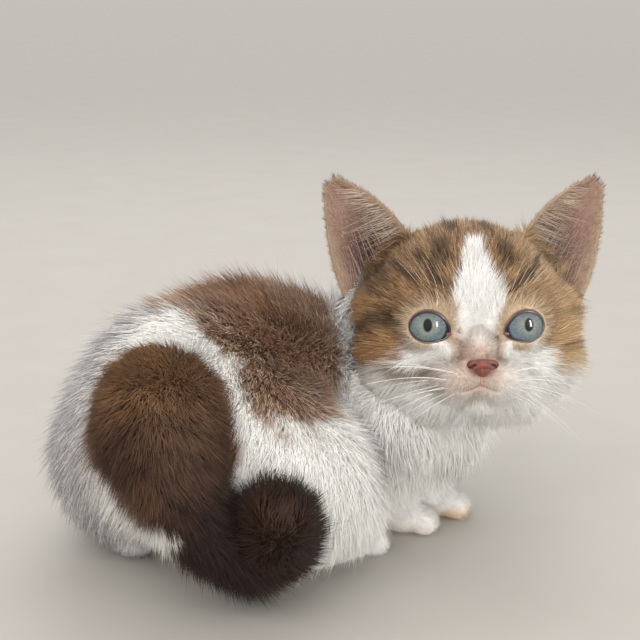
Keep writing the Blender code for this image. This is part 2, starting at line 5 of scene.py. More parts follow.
import math

import bmesh
import bpy
import numpy as np
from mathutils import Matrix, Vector
from mathutils.bvhtree import BVHTree
from mathutils.kdtree import KDTree


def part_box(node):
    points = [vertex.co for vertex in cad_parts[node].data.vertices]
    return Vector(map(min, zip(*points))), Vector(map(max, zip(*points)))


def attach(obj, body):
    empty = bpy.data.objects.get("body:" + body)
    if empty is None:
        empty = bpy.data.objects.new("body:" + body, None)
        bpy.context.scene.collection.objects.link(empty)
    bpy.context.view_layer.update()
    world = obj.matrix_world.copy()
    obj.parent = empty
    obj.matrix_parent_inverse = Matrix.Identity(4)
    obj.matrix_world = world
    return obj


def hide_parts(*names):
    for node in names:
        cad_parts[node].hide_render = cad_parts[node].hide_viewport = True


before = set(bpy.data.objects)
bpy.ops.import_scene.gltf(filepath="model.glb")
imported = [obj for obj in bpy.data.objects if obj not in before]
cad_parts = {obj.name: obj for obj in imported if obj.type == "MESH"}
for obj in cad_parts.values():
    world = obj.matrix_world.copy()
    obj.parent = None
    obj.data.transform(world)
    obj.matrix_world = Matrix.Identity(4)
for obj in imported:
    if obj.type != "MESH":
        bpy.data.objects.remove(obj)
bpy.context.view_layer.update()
mm = 0.001

# The same driving sizes as the solids: stations are a centre and a thickness out to the coat's tips
spine = {
    "rump": ((-17.4, -26.4, 45.3), 35.6),
    "loin": ((-21.0, -4.0, 46.2), 34.4),
    "ribs": ((-19.0, 17.5, 43.0), 30.6),
    "shoulders": ((-12.0, 37.0, 38.0), 24.0),
    "neck": ((-6.0, 49.5, 46.0), 18.8),
    "nape": ((2.0, 57.5, 56.0), 16.8),
}
breast = ((6.0, 47.0, 32.5), 17.0)
belly = ((-17.0, 10.0, 28.0), 23.0)
hindLegs = {
    "right": {"thigh": ((10.6, -12.0, 27.5), 24.8), "knee": ((13.6, 4.5, 14.0), 12.0),
              "heel": (10.5, -21.5, 6.0), "ball": (14.0, 7.5, 5.0)},
    "left": {"thigh": ((-34.0, -33.0, 27.0), 26.4), "knee": ((-48.5, -27.5, 15.0), 14.6),
             "heel": (-26.0, -40.0, 6.0), "ball": (-47.5, -22.5, 5.0)},
}
foreLegs = {
    "right": {"shoulder": ((9.0, 26.0, 35.0), 16.0), "elbow": ((7.0, 21.5, 21.0), 11.5),
              "wrist": ((8.0, 27.4, 11.0), 8.2), "palm": (10.6, 30.5, 5.0), "heading": 48.0},
    "left": {"shoulder": ((-8.0, 47.0, 35.0), 16.0), "elbow": ((1.0, 43.2, 22.0), 11.4),
             "wrist": ((6.3, 43.0, 11.0), 8.2), "palm": (8.9, 46.3, 5.0), "heading": 48.0},
}
paws = {"palm": (7.0, 5.3, 5.4), "toe": (4.4, 2.3, 3.6), "spread": (-28.0, -9.5, 9.5, 28.0), "reach": 6.2,
        "fan": (0.86, 0.2), "toeDown": 0.2, "toeTurn": 0.55, "toePitch": -12.0, "sink": 0.15, "toeSink": 0.8,
        "rounds": 9}
tail = [
    ((-6.5, -38.0, 54.0), 14.0), ((4.5, -49.5, 52.0), 16.0), ((12.0, -53.0, 42.0), 16.2),
    ((14.5, -48.5, 30.0), 13.2), ((16.5, -40.5, 19.0), 13.4), ((20.5, -33.0, 14.0), 13.2),
    ((26.0, -30.5, 18.0), 12.6), ((30.5, -32.0, 24.5), 11.8),
]
# Station by station: the flesh as a share of the bushy tail, and how far it lies above the middle of the fur
tailCore = (0.95, 0.8, 0.58, 0.56, 0.5, 0.5, 0.52, 0.56)
tailRise = (0.0, 0.0, 0.0, 0.6, 2.4, 2.4, 2.6, 3.0)

# The head in its own axes: to the cat's left, up and ahead of its centre
head = {"centre": (20.6, 45.1, 64.5), "heading": -38.9, "pitch": 12.0}
skull = [  # centre, radii out to the coat, depth of the coat
    ((0.0, 4.8, -1.9), (27.6, 24.4, 29.1), 2.3),
    ((18.2, 1.8, -1.6), (14.5, 14.2, 17.4), 2.3),
    ((16.2, -8.9, 2.9), (16.8, 15.9, 18.2), 2.8),
    ((8.6, -15.7, 6.2), (16.4, 14.0, 14.9), 2.6),
    ((9.8, -9.2, 15.2), (6.8, 5.6, 7.6), 1.3),
    ((6.5, -7.4, 19.0), (4.2, 4.6, 5.6), 0.8),
    ((5.7, -14.7, 24.0), (7.8, 6.5, 8.0), 0.9),
    ((0.0, -6.2, 24.8), (6.1, 7.1, 6.7), 1.5),
    ((0.0, -19.8, 20.8), (6.6, 5.0, 6.0), 1.4),
]
eyes = {"spread": 12.7, "ahead": 16.8, "radius": 7.0, "turn": 8.0, "width": 5.25, "height": 4.15,
        "upper": 0.97, "lower": 1.02, "corner": 1.9, "leftShare": 0.93}
ears = {"root": (25.7, 15.7, -2.9), "tip": (39.8, 41.5, -5.7), "across": (-18.1, 19.1, 4.8), "cup": 7.0,
        "cupTaper": 0.7, "folds": 0.35, "bulge": 0.12, "thick": 1.1, "sunk": -0.15, "top": 0.96, "taper": 0.6}
noseTip = (0.2, -9.9, 31.0)
nape = (-3.0, -7.0, -27.0)
mouth = [(0.0, -12.4), (0.0, -15.3), (1.5, -16.0), (3.2, -16.6), (4.9, -17.0)]


# Small tools for arrays of points

def unit(v):
    return v / np.maximum(np.linalg.norm(v, axis=-1, keepdims=True), 1e-9)


def ramp(low, high, x):  # 0 below low, 1 above high, smooth between
    t = np.clip((x - low) / (high - low), 0.0, 1.0)
    return t * t * (3.0 - 2.0 * t)


def mixed(a, b, t):
    t = np.asarray(t)[..., None]
    return np.asarray(a) * (1.0 - t) + np.asarray(b) * t


def waves(points, size, seed):  # soft noise about -1 to 1, with bumps of that size
    draw = np.random.default_rng(seed)
    total = np.zeros(len(points))
    for _ in range(7):
        way = unit(draw.normal(size=3))
        total += np.sin(points @ way * (2 * math.pi / size) * draw.uniform(0.7, 1.5) + draw.uniform(0, 6.28))
    return total / 3.0


def tone(red, green, blue):  # an sRGB colour as linear numbers
    c = np.array([red, green, blue]) / 255.0
    return np.where(c <= 0.04045, c / 12.92, ((c + 0.055) / 1.055) ** 2.4)


def pointing(heading, pitch=0.0):  # rows: along the heading, across it, up
    a, b = math.radians(heading), math.radians(pitch)
    along = np.array([math.cos(a) * math.cos(b), math.sin(a) * math.cos(b), math.sin(b)])
    across = np.array([-math.sin(a), math.cos(a), 0.0])
    return np.array([along, across, np.cross(along, across)])


def offLine(points, a, b):  # distance to the stretch from a to b, and the share of it passed there
    t = np.clip(((points - a) @ (b - a)) / ((b - a) @ (b - a)), 0, 1)
    return np.linalg.norm(points - a - t[:, None] * (b - a), axis=1), t


sideNames = {1: "left", -1: "right"}
farAway = 99.0
headRows = pointing(head["heading"], head["pitch"])[[1, 2, 0]]
headCentre = np.array(head["centre"])


def onHead(q):
    return headCentre + np.asarray(q, float) @ headRows


def toHead(p):
    return (np.asarray(p) - headCentre) @ headRows.T


def skullBalls():  # each ball of the head, and its mirror image where it lies to one side
    for (left, up, ahead), radii, depth in skull:
        for side in ((1, -1) if left else (1,)):
            yield np.array([left * side, up, ahead]), np.array(radii), depth


def mouthStretches():
    line = np.array(mouth)
    for side in sideNames:
        yield from zip(line * (side, 1), line[1:] * (side, 1))


def eyeFrame(side):  # rows: outwards, up, ahead of that eye, in the head's axes, and its centre
    turn = math.radians(eyes["turn"] * side)
    out = np.array([math.cos(turn), 0.0, -math.sin(turn)]) * side
    ahead = np.array([math.sin(turn), 0.0, math.cos(turn)])
    return np.array([out, [0.0, 1.0, 0.0], ahead]), np.array([side * eyes["spread"], 0.0, eyes["ahead"]])


def rimReach(angle, side):  # how far the edge of the lids lies from the gaze, along the ball
    across, up = np.cos(angle), np.sin(angle)
    width = eyes["width"] * (eyes["leftShare"] if side > 0 else 1.0)
    height = np.where(up > 0, eyes["height"] * eyes["upper"], eyes["height"] * eyes["lower"])
    reach = 1.0 / np.sqrt((across / width) ** 2 + (up / height) ** 2)
    corner = np.maximum(0.0, -across * 0.92 - up * 0.39) ** 8
    return reach + eyes["corner"] * corner


def lidGap(q, side):  # points seen from the centre of that eye, and their distance to the lids' edge
    rows, centre = eyeFrame(side)
    v = (q - centre) @ rows.T
    arc = np.arctan2(np.hypot(v[:, 0], v[:, 1]), v[:, 2]) * eyes["radius"]
    return v, arc - rimReach(np.arctan2(v[:, 1], v[:, 0]), side)


def fromEyes(q):  # distance to the nearest edge of the lids, along the ball
    best = np.full(len(q), farAway)
    for side in sideNames:
        v, gap = lidGap(q, side)
        best = np.where(np.linalg.norm(v, axis=1) < 2 * eyes["radius"], np.minimum(best, gap), best)
    return best


eyeBoxes = [np.array(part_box("eye_" + side)) for side in ("left", "right")]
shift = np.mean(eyeBoxes, axis=(0, 1)) / mm - onHead((0.0, 0.0, eyes["ahead"]))


def newMesh(name, points, faces):  # faces is one array, with 3 or 4 corners each
    faces = np.asarray(faces, np.int32)
    mesh = bpy.data.meshes.new(name)
    mesh.vertices.add(len(points))
    mesh.vertices.foreach_set("co", ((np.asarray(points) + shift) * mm).astype(np.float32).ravel())
    mesh.loops.add(faces.size)
    mesh.loops.foreach_set("vertex_index", faces.ravel())
    mesh.polygons.add(len(faces))
    mesh.polygons.foreach_set("loop_start", np.arange(0, faces.size, faces.shape[1], dtype=np.int32))
    mesh.update(calc_edges=True)
    return mesh


def newObject(name, mesh):
    obj = bpy.data.objects.new(name, mesh)
    bpy.context.scene.collection.objects.link(obj)
    return obj


def applied(obj):  # makes what the modifiers give the object's own mesh
    graph = bpy.context.evaluated_depsgraph_get()
    mesh = bpy.data.meshes.new_from_object(obj.evaluated_get(graph))
    obj.modifiers.clear()
    obj.data = mesh
    return obj


def reworked(obj, work):  # what that mesh tool makes of all the object's faces
    bm = bmesh.new()
    bm.from_mesh(obj.data)
    work(bm, faces=bm.faces)
    bm.to_mesh(obj.data)
    bm.free()
    return obj


def outward(obj):
    return reworked(obj, bmesh.ops.recalc_face_normals)


def smoothObject(name, mesh, material):
    obj = outward(newObject(name, mesh))
    mesh.shade_smooth()
    mesh.materials.append(material)
    return obj


def pointsOf(mesh):
    co = np.empty(len(mesh.vertices) * 3, np.float32)
    mesh.vertices.foreach_get("co", co)
    return co.reshape(-1, 3).astype(float) / mm - shift


def setPoints(mesh, points):
    mesh.vertices.foreach_set("co", ((points + shift) * mm).astype(np.float32).ravel())
    mesh.update()


def giveColour(mesh, colours):  # one colour a point, as linear numbers
    layer = mesh.color_attributes.new("coatColour", "FLOAT_COLOR", "POINT")
    full = np.ones((len(colours), 4), np.float32)
    full[:, :3] = np.clip(colours, 0.0, 1.0)
    layer.data.foreach_set("color", full.ravel())


def roundBall():
    bm = bmesh.new()
    bmesh.ops.create_icosphere(bm, subdivisions=3, radius=1.0)
    points = np.array([v.co for v in bm.verts])
    faces = np.array([[v.index for v in f.verts] for f in bm.faces])
    bm.free()
    return points, faces


ballPoints, ballFaces = roundBall()


def fused(name, balls, voxel, rounds):  # one closed smooth surface round all the balls
    points = np.concatenate([centre + (ballPoints * radii) @ rows for centre, radii, rows in balls])
    steps = np.arange(len(balls))[:, None, None] * len(ballPoints)
    obj = newObject(name, newMesh(name, points, (ballFaces[None] + steps).reshape(-1, 3)))
    remesh = obj.modifiers.new("Remesh", "REMESH")
    remesh.mode = "VOXEL"
    remesh.voxel_size = voxel * mm
    soften = obj.modifiers.new("Smooth", "SMOOTH")
    soften.factor = 0.5
    soften.iterations = rounds
    return applied(obj)


def tubeSides(rings, around, start=0):  # four corners a face, ring after ring
    ring, spot = np.divmod(np.arange((rings - 1) * around), around)
    a, b = start + ring * around + spot, start + ring * around + (spot + 1) % around
    return np.stack([a, b, b + around, a + around], axis=1)


def halved(quads, order=(0, 1, 2, 0, 2, 3)):
    return quads[:, order].reshape(-1, 3)


def chain(stations, gap=0.22):  # balls close together from station to station
    balls = []
    for (a, ra), (b, rb) in zip(stations, stations[1:]):
        a, b = np.array(a, float), np.array(b, float)
        steps = max(2, math.ceil(np.linalg.norm(b - a) / (gap * min(ra, rb))))
        for i in range(steps + 1):
            r = ra + (rb - ra) * i / steps
            balls.append((a + (b - a) * i / steps, (r, r, r), np.eye(3)))
    return balls


def smoothLine(stations, perSpan):  # points on a smooth curve through the stations
    v = [np.array([*p, r], float) for p, r in stations]
    v = [2 * v[0] - v[1], *v, 2 * v[-1] - v[-2]]
    line = []
    for p0, p1, p2, p3 in zip(v, v[1:], v[2:], v[3:]):
        for i in range(perSpan):
            t = i / perSpan
            line.append(0.5 * (2 * p1 + (p2 - p0) * t + (2 * p0 - 5 * p1 + 4 * p2 - p3) * t * t
                               + (3 * p1 - p0 - 3 * p2 + p3) * t ** 3))
    line.append(v[-2])
    return [(p[:3], p[3]) for p in line]


# The skin under the coat, in one closed surface

bodySkin = {"share": 0.87, "backShare": 0.83, "sag": 3.0, "voxel": 1.6, "rounds": 14, "tailVoxel": 1.2,
            "tailRounds": 14, "pawVoxel": 0.7, "headVoxel": 0.68, "headRounds": 24, "floor": 0.25}
legEnds = {"ball": 5.6, "heel": 6.0, "palm": 6.0}
footRadii = {"palm": 5.1, "wrist": 6.1, "heel": 6.4, "ball": 5.7}
footLift = {"heel": 0.8, "ball": 0.6}
sockets = {"spare": 0.35, "depth": 5.9, "bank": 1.4, "bankAt": (0.2, 1.1), "endAt": (0.9, 2.3), "near": 11.0}
crease = {"depth": 0.2, "width": 0.7, "ahead": 15.0}
earGrid = {"columns": 25, "rows": 37}


def trunkBalls():
    share, backShare = bodySkin["share"], bodySkin["backShare"] / bodySkin["share"]
    line = dict(spine)
    for name in ("rump", "loin", "ribs"):  # the coat stands longest here
        (x, y, z), r = spine[name]
        line[name] = ((x, y, z - bodySkin["sag"]), r * backShare)
    runs = [list(line.values()), [line["shoulders"], breast, line["neck"]],
            [line["loin"], belly, line["shoulders"]]]
    for leg in hindLegs.values():
        runs.append([line["rump"], leg["thigh"], leg["knee"], (leg["ball"], legEnds["ball"])])
        runs.append([leg["thigh"], (leg["heel"], legEnds["heel"])])
    for leg in foreLegs.values():
        runs.append([spine["shoulders"], leg["shoulder"], leg["elbow"], leg["wrist"],
                     (leg["palm"], legEnds["palm"])])
    return [ball for run in runs for ball in chain([(c, r * share) for c, r in run])]


def pawBalls(palm, heading):
    sink = paws["sink"]
    least, more = paws["fan"]
    palm = np.array(palm, float)
    balls = [(palm, np.array(paws["palm"]) - sink, pointing(heading))]
    for spread in paws["spread"]:
        way = pointing(heading + spread)[0]
        centre = palm + way * paws["reach"] * (least + more * math.cos(math.radians(spread)))
        centre[2] = paws["toe"][2] - paws["toeDown"]
        rows = pointing(heading + spread * paws["toeTurn"], paws["toePitch"])
        balls.append((centre, np.array(paws["toe"]) - paws["toeSink"] * sink, rows))
    return balls


def footBalls():
    balls = []
    for leg in foreLegs.values():
        stretch = [(leg["palm"], footRadii["palm"]), (leg["wrist"][0], footRadii["wrist"])]
        balls += chain(stretch) + pawBalls(leg["palm"], leg["heading"])
    for leg in hindLegs.values():
        heel, ball = np.array(leg["heel"], float), np.array(leg["ball"], float)
        way = ball - heel
        heading = math.degrees(math.atan2(way[1], way[0]))
        stretch = [(heel + (0, 0, footLift["heel"]), footRadii["heel"]),
                   (ball + (0, 0, footLift["ball"]), footRadii["ball"])]
        balls += chain(stretch) + pawBalls(ball, heading)
    return balls


def headBalls():
    balls = [(onHead(centre), radii - depth, headRows) for centre, radii, depth in skullBalls()]
    for side in sideNames:
        balls.append((onHead(eyeFrame(side)[1]), np.full(3, eyes["radius"] + sockets["spare"]), headRows))
    return balls


def shapeFace(points):  # sockets for the eyes, and the line of the mouth
    q = toHead(points)
    for side in sideNames:
        rows, centre = eyeFrame(side)
        v, gap = lidGap(q, side)
        far = np.linalg.norm(v, axis=1)
        wanted = sockets["depth"] + sockets["bank"] * ramp(*sockets["bankAt"], gap)
        pull = (1.0 - ramp(*sockets["endAt"], gap)) * (far < sockets["near"])
        q = centre + (v * (1 + pull * (wanted / far - 1))[:, None]) @ rows
    for a, b in mouthStretches():
        off, _ = offLine(q[:, :2], a, b)
        q[:, 2] -= crease["depth"] * np.exp(-(off / crease["width"]) ** 2) * (q[:, 2] > crease["ahead"])
    return onHead(q)


def earAxes(side):
    return (np.array(ears[k]) * (side, 1.0, 1.0) for k in ("root", "tip", "across"))


def earWidth(free, w):
    return 0.5 * free ** ears["taper"] * (1.0 + ears["bulge"] * np.sin(math.pi * np.clip(w, 0.0, 1.0)))


def earSurface(side, u, w):  # the middle of one ear's shell: u from edge to edge, w from root to tip
    root, tip, across = earAxes(side)
    rise = tip - root
    back = unit(np.cross(rise, across))
    back = -back if back[2] > 0 else back
    free = 1.0 - np.maximum(w, 0.0)
    cup = ears["cup"] * free ** ears["cupTaper"] * (1.0 - u * u)
    folds = ears["folds"] * np.sin(u * 9.0 + w * 3.0) * np.sin(math.pi * np.clip(w, 0, 1)) * (1 - u * u)
    q = root + rise * w[:, None] + across * (earWidth(free, w) * u)[:, None] + back * (cup + folds)[:, None]
    return q, back


def buildEar(side):
    columns, rowsUp = earGrid["columns"], earGrid["rows"]
    u, w = np.meshgrid(np.linspace(-1, 1, columns), np.linspace(ears["sunk"], ears["top"], rowsUp))
    u, w = u.ravel(), w.ravel()
    q, back = earSurface(side, u, w)
    grid = q.reshape(rowsUp, columns, 3)
    normal = np.cross(np.gradient(grid, axis=1), np.gradient(grid, axis=0)).reshape(-1, 3)
    normal = unit(normal) * np.sign(unit(normal) @ back)[:, None]
    # thinner towards its edges and its tip
    thick = ears["thick"] * (0.45 + 0.55 * (1 - u ** 4)) * (1 - 0.45 * np.clip(w, 0, 1))
    both = np.concatenate([q + normal * thick[:, None] / 2, q - normal * thick[:, None] / 2])
    count = rowsUp * columns
    spots = np.arange(count).reshape(rowsUp, columns)
    a = spots[:-1, :-1].ravel()
    faces = np.stack([a, a + 1, a + columns + 1, a + columns], axis=1)
    edge = np.concatenate([spots[0], spots[1:, -1], spots[-1, -2::-1], spots[-2:0:-1, 0]])
    onward = np.roll(edge, -1)
    rim = np.stack([edge, onward, onward + count, edge + count], axis=1)
    faces = np.concatenate([faces, faces[:, ::-1] + count, rim])
    return outward(newObject("ear", newMesh("ear", onHead(both), faces)))


def buildSkin():
    skinObject = fused("skin", headBalls(), bodySkin["headVoxel"], bodySkin["headRounds"])
    setPoints(skinObject.data, shapeFace(pointsOf(skinObject.data)))
    tailLine = smoothLine([((x, y, z + rise), r * share)
                           for ((x, y, z), r), share, rise in zip(tail, tailCore, tailRise)], 3)
    parts = [
        fused("trunk", trunkBalls(), bodySkin["voxel"], bodySkin["rounds"]),
        fused("tail", chain(tailLine), bodySkin["tailVoxel"], bodySkin["tailRounds"]),
        fused("feet", footBalls(), bodySkin["pawVoxel"], paws["rounds"]),
        buildEar(1), buildEar(-1),
    ]
    for part in parts:
        join = skinObject.modifiers.new("Join", "BOOLEAN")
        join.operation = "UNION"
        join.solver = "MANIFOLD"
        join.object = part
        applied(skinObject)
        bpy.data.objects.remove(part)
    points = pointsOf(skinObject.data)
    points[:, 2] = np.maximum(points[:, 2], bodySkin["floor"])  # the soles stand just above the floor
    setPoints(skinObject.data, points)
    reworked(skinObject, bmesh.ops.triangulate)
    skinObject.data.materials.clear()
    skinObject.data.shade_smooth()
    return skinObject


def unwrap(obj):
    obj.data.uv_layers.new(name="OFBake")
    bpy.context.view_layer.objects.active = obj
    obj.select_set(True)
    bpy.ops.object.mode_set(mode="EDIT")
    bpy.ops.mesh.select_all(action="SELECT")
    bpy.ops.uv.smart_project(angle_limit=math.radians(66), island_margin=0.002)
    bpy.ops.object.mode_set(mode="OBJECT")
    obj.select_set(False)


skin = buildSkin()
print("skin", len(skin.data.polygons), "triangles")
unwrap(skin)
print("skin unwrapped")

# What grows where: bones give the coat its lie, length and lift

coat = {
    "trunk": {"lie": (-0.2, -0.85, -0.5), "length": 8.0, "lift": 52.0},
    "neck": {"lie": (-0.45, -0.6, -0.75), "length": 8.0, "lift": 48.0},
    "breast": {"lie": (0.1, -0.1, -1.0), "length": 7.5, "lift": 34.0},
    "thigh": {"lie": (0.0, -0.35, -0.9), "length": 5.6, "lift": 32.0},
    "knee": {"lie": (0.0, 0.1, -1.0), "length": 4.2, "lift": 32.0},
    "arm": {"lie": (0.15, 0.0, -1.0), "length": 4.6, "lift": 28.0},
    "foot": {"lie": (0.0, 0.0, 0.0), "length": 3.3, "lift": 30.0},
    "tail": {"lie": (0.0, 0.0, 0.0), "length": 8.2, "lift": 56.0},
}
footBones = {"heel": 6.4, "middle": 6.0, "ball": 6.5, "palm": 6.0, "tip": 4.0, "tipAhead": 9.0}


def bones():  # kind, both ends with their thickness, and the lie
    found = []

    def add(kind, a, b, lie=None):
        way = np.array(coat[kind]["lie"], float) if lie is None else np.array(lie, float)
        found.append((kind, np.array(a[0], float), a[1], np.array(b[0], float), b[1], unit(way)))

    def addToes(place, radius, way, down):
        tip = (np.array(place) + unit(way) * footBones["tipAhead"]) * (1, 1, 0.7)
        add("foot", (place, radius), (tip, footBones["tip"]), way + (0, 0, down))

    s = spine
    chains = {"trunk": ("rump", "loin", "ribs", "shoulders"), "neck": ("shoulders", "neck", "nape")}
    for kind, names in chains.items():
        for a, b in zip(names, names[1:]):
            add(kind, s[a], s[b])
    add("breast", s["shoulders"], breast)
    add("breast", breast, s["neck"])
    add("trunk", s["loin"], belly)
    add("trunk", belly, s["shoulders"])
    for leg in hindLegs.values():
        way = np.array(leg["ball"]) - np.array(leg["heel"])
        add("thigh", s["rump"], leg["thigh"])
        add("thigh", leg["thigh"], leg["knee"])
        add("knee", leg["knee"], (leg["ball"], footBones["ball"]))
        add("foot", (leg["heel"], footBones["heel"]), (leg["ball"], footBones["middle"]), way + (0, 0, -3.0))
        addToes(leg["ball"], footBones["ball"], way, -5.0)
    for leg in foreLegs.values():
        way = pointing(leg["heading"])[0]
        add("breast", s["shoulders"], leg["shoulder"])
        add("arm", leg["shoulder"], leg["elbow"])
        add("arm", leg["elbow"], leg["wrist"])
        add("foot", leg["wrist"], (leg["palm"], footBones["palm"]), way + (0, 0, -1.5))
        addToes(leg["palm"], footBones["palm"], way, -0.3)
    line = smoothLine(tail, 2)
    for a, b in zip(line, line[1:]):
        add("tail", a, b, b[0] - a[0])
    return found


def bodyField(points):  # what the bones near each point say, and the way along the tail in stations
    close, values, shares = [], [], []
    allBones = bones()
    for kind, a, ra, b, rb, lie in allBones:
        far, t = offLine(points, a, b)
        close.append(far / (ra + (rb - ra) * t))
        shares.append(t)
        how = coat[kind]
        values.append([*lie, how["length"], how["lift"], kind == "tail", kind == "foot"])
    tailStart = [bone[0] for bone in allBones].index("tail")
    close = np.array(close)
    weight = np.exp(-14.0 * (close - close.min(axis=0)))
    weight /= weight.sum(axis=0)
    blend = weight.T @ np.array(values, float)
    span = np.argmin(close[tailStart:], axis=0)
    along = (span + np.array(shares)[tailStart:][span, np.arange(len(points))]) / 2.0
    return {"lie": unit(blend[:, :3]), "length": blend[:, 3], "lift": blend[:, 4],
            "tail": blend[:, 5], "foot": blend[:, 6], "along": along, "close": close.min(axis=0)}


def earPlace(side, q):  # where points lie on the shell of one ear: u across it, w up it
    root, tip, across = earAxes(side)
    back = unit(np.cross(tip - root, across))
    share = (q - root) @ np.linalg.inv(np.array([tip - root, across, back]))
    w = share[:, 0]
    return share[:, 1] / earWidth(1.0 - np.clip(w, 0.0, 0.97), w), w


def earField(q):  # how much a point belongs to an ear, how far up it is, and how far across
    part, high, over = np.zeros(len(q)), np.zeros(len(q)), np.zeros(len(q))
    for side in sideNames:
        u, w = earPlace(side, q)
        surface, _ = earSurface(side, np.clip(u, -1, 1), np.clip(w, -0.1, 0.985))
        mine = (np.linalg.norm(q - surface, axis=1) < 2.4) & (w > 0.03)
        part = np.where(mine, 1.0, part)
        high = np.where(mine, w, high)
        over = np.where(mine, u, over)
    return part, high, over


def insideEar(nq, part, high, over):  # the bare inner face of the shell, without its furred rim
    return part * (nq[:, 2] > -0.1) * (np.abs(over) < 0.93) * (high < 0.97)


# The markings, which skin and coat share

palette = {
    "white": tone(249, 247, 242), "shade": tone(182, 176, 180), "greyTip": tone(70, 58, 62),
    "saddle": tone(128, 92, 68), "saddleDark": tone(90, 62, 47), "saddleTip": tone(226, 208, 188),
    "rump": tone(112, 82, 60), "rumpGold": tone(156, 118, 82), "dark": tone(44, 31, 29),
    "ball": tone(62, 43, 34), "wisp": tone(170, 140, 108),
    "tabby": tone(118, 84, 56), "tabbyTip": tone(220, 188, 148), "tabbyDark": tone(52, 36, 27),
    "tan": tone(194, 158, 114), "orange": tone(150, 110, 72), "cream": tone(228, 208, 180),
    "pink": tone(204, 168, 156), "muzzle": tone(182, 160, 144), "earPink": tone(152, 120, 106),
    "earHollowShade": tone(70, 42, 44), "earRim": tone(166, 144, 122), "stain": tone(212, 180, 130),
}


# A mark is its share and then an oval (x, y, across, up, turn) or a stroke (one end, the other end, width)
faceMarks = {
    "dark": [(1, -8.6, 18.4, 2.3, 4.4, -12), (1, 8.0, 18.0, 2.3, 4.0, 14),
             (1, (-14.4, 18.0), (-8.2, 9.4), 1.2), (1, (13.6, 12.5), (8.4, 9.0), 1.0),
             (1, (19.0, 18.0), (12.8, 11.5), 1.1), (1, (-20.0, 16.0), (-15.0, 10.5), 1.3),
             (1, -4.6, 26.5, 1.7, 4.0), (1, 4.8, 26.8, 1.7, 4.0),
             (0.8, -25.0, 11.5, 5.0, 5.5, 20), (0.35, 25.0, 12.5, 3.5, 4.5, -20),
             (1, (-21.5, 1.4), (-33.5, -5.0), 2.5), (1, (-26.5, -11.5), (-34.0, -13.5), 2.0),
             (0.55, (21.5, -6.6), (29.5, -5.4), 1.1), (0.4, (21.0, 2.4), (31.0, 2.6), 1.3)],
    "warm": [(1, -25.0, -6.0, 6.0, 4.0), (1, -30.0, 5.0, 5.0, 3.5), (0.6, -19.0, 8.0, 3.0, 2.5)],
    "pads": [(0.75, (-11.5, -12.6), (-21.0, -12.0), 1.7), (0.4, (-9.5, -15.6), (-13.5, -16.5), 1.1)],
    "beside": [(1, (-6.2, -2.0), (-5.4, -8.5), 2.0), (1, (6.2, -2.6), (5.4, -8.5), 2.0)],
    "snout": [(1, -2.0, -13.2, 9.5, 5.6, 0, 0.6)],
    "bridge": [(1, 0.3, -5.4, 5.2, 3.8, 0, 0.6)],
}
# Half the blaze's width by height, and how high the white of the cheeks reaches by distance from the middle
blazeHalf = ([-30, -8, -4, 2, 8, 13, 18, 22, 25], [9, 6, 5.2, 6.0, 6.2, 4.7, 3.2, 1.4, -3.0])
cheekLine = ([8, 18, 23, 30, 40], [-4.8, -6.0, -12.0, -14.0, -13.0])


def near(q, x, y, across, up, turn=0.0, edge=0.35):  # 1 inside an oval on the face, seen from the front
    a = math.radians(turn)
    dx, dy = q[:, 0] - x, q[:, 1] - y
    u = (dx * math.cos(a) + dy * math.sin(a)) / across
    v = (-dx * math.sin(a) + dy * math.cos(a)) / up
    return 1.0 - ramp(1.0 - edge, 1.0 + edge, np.hypot(u, v))


def stroke(q, a, b, wide):  # 1 along a line on the face
    gap, _ = offLine(q[:, :2], np.array(a, float), np.array(b, float))
    return 1.0 - ramp(0.45 * wide, 1.3 * wide, gap)


def marked(q, name):
    total = 0.0
    for share, *shape in faceMarks[name]:
        total = total + share * (stroke(q, *shape) if len(shape) == 3 else near(q, *shape))
    return total


class Paint:  # the colours of hair base and hair tip, laid over one another
    def __init__(self, base, tip):
        self.base, self.tip = base, tip

    def lay(self, tone, share, tipTone=None, tipShare=None):
        self.base = mixed(self.base, tone, share)
        tipShare = share if tipShare is None else tipShare
        self.tip = mixed(self.tip, tone if tipTone is None else tipTone, tipShare)


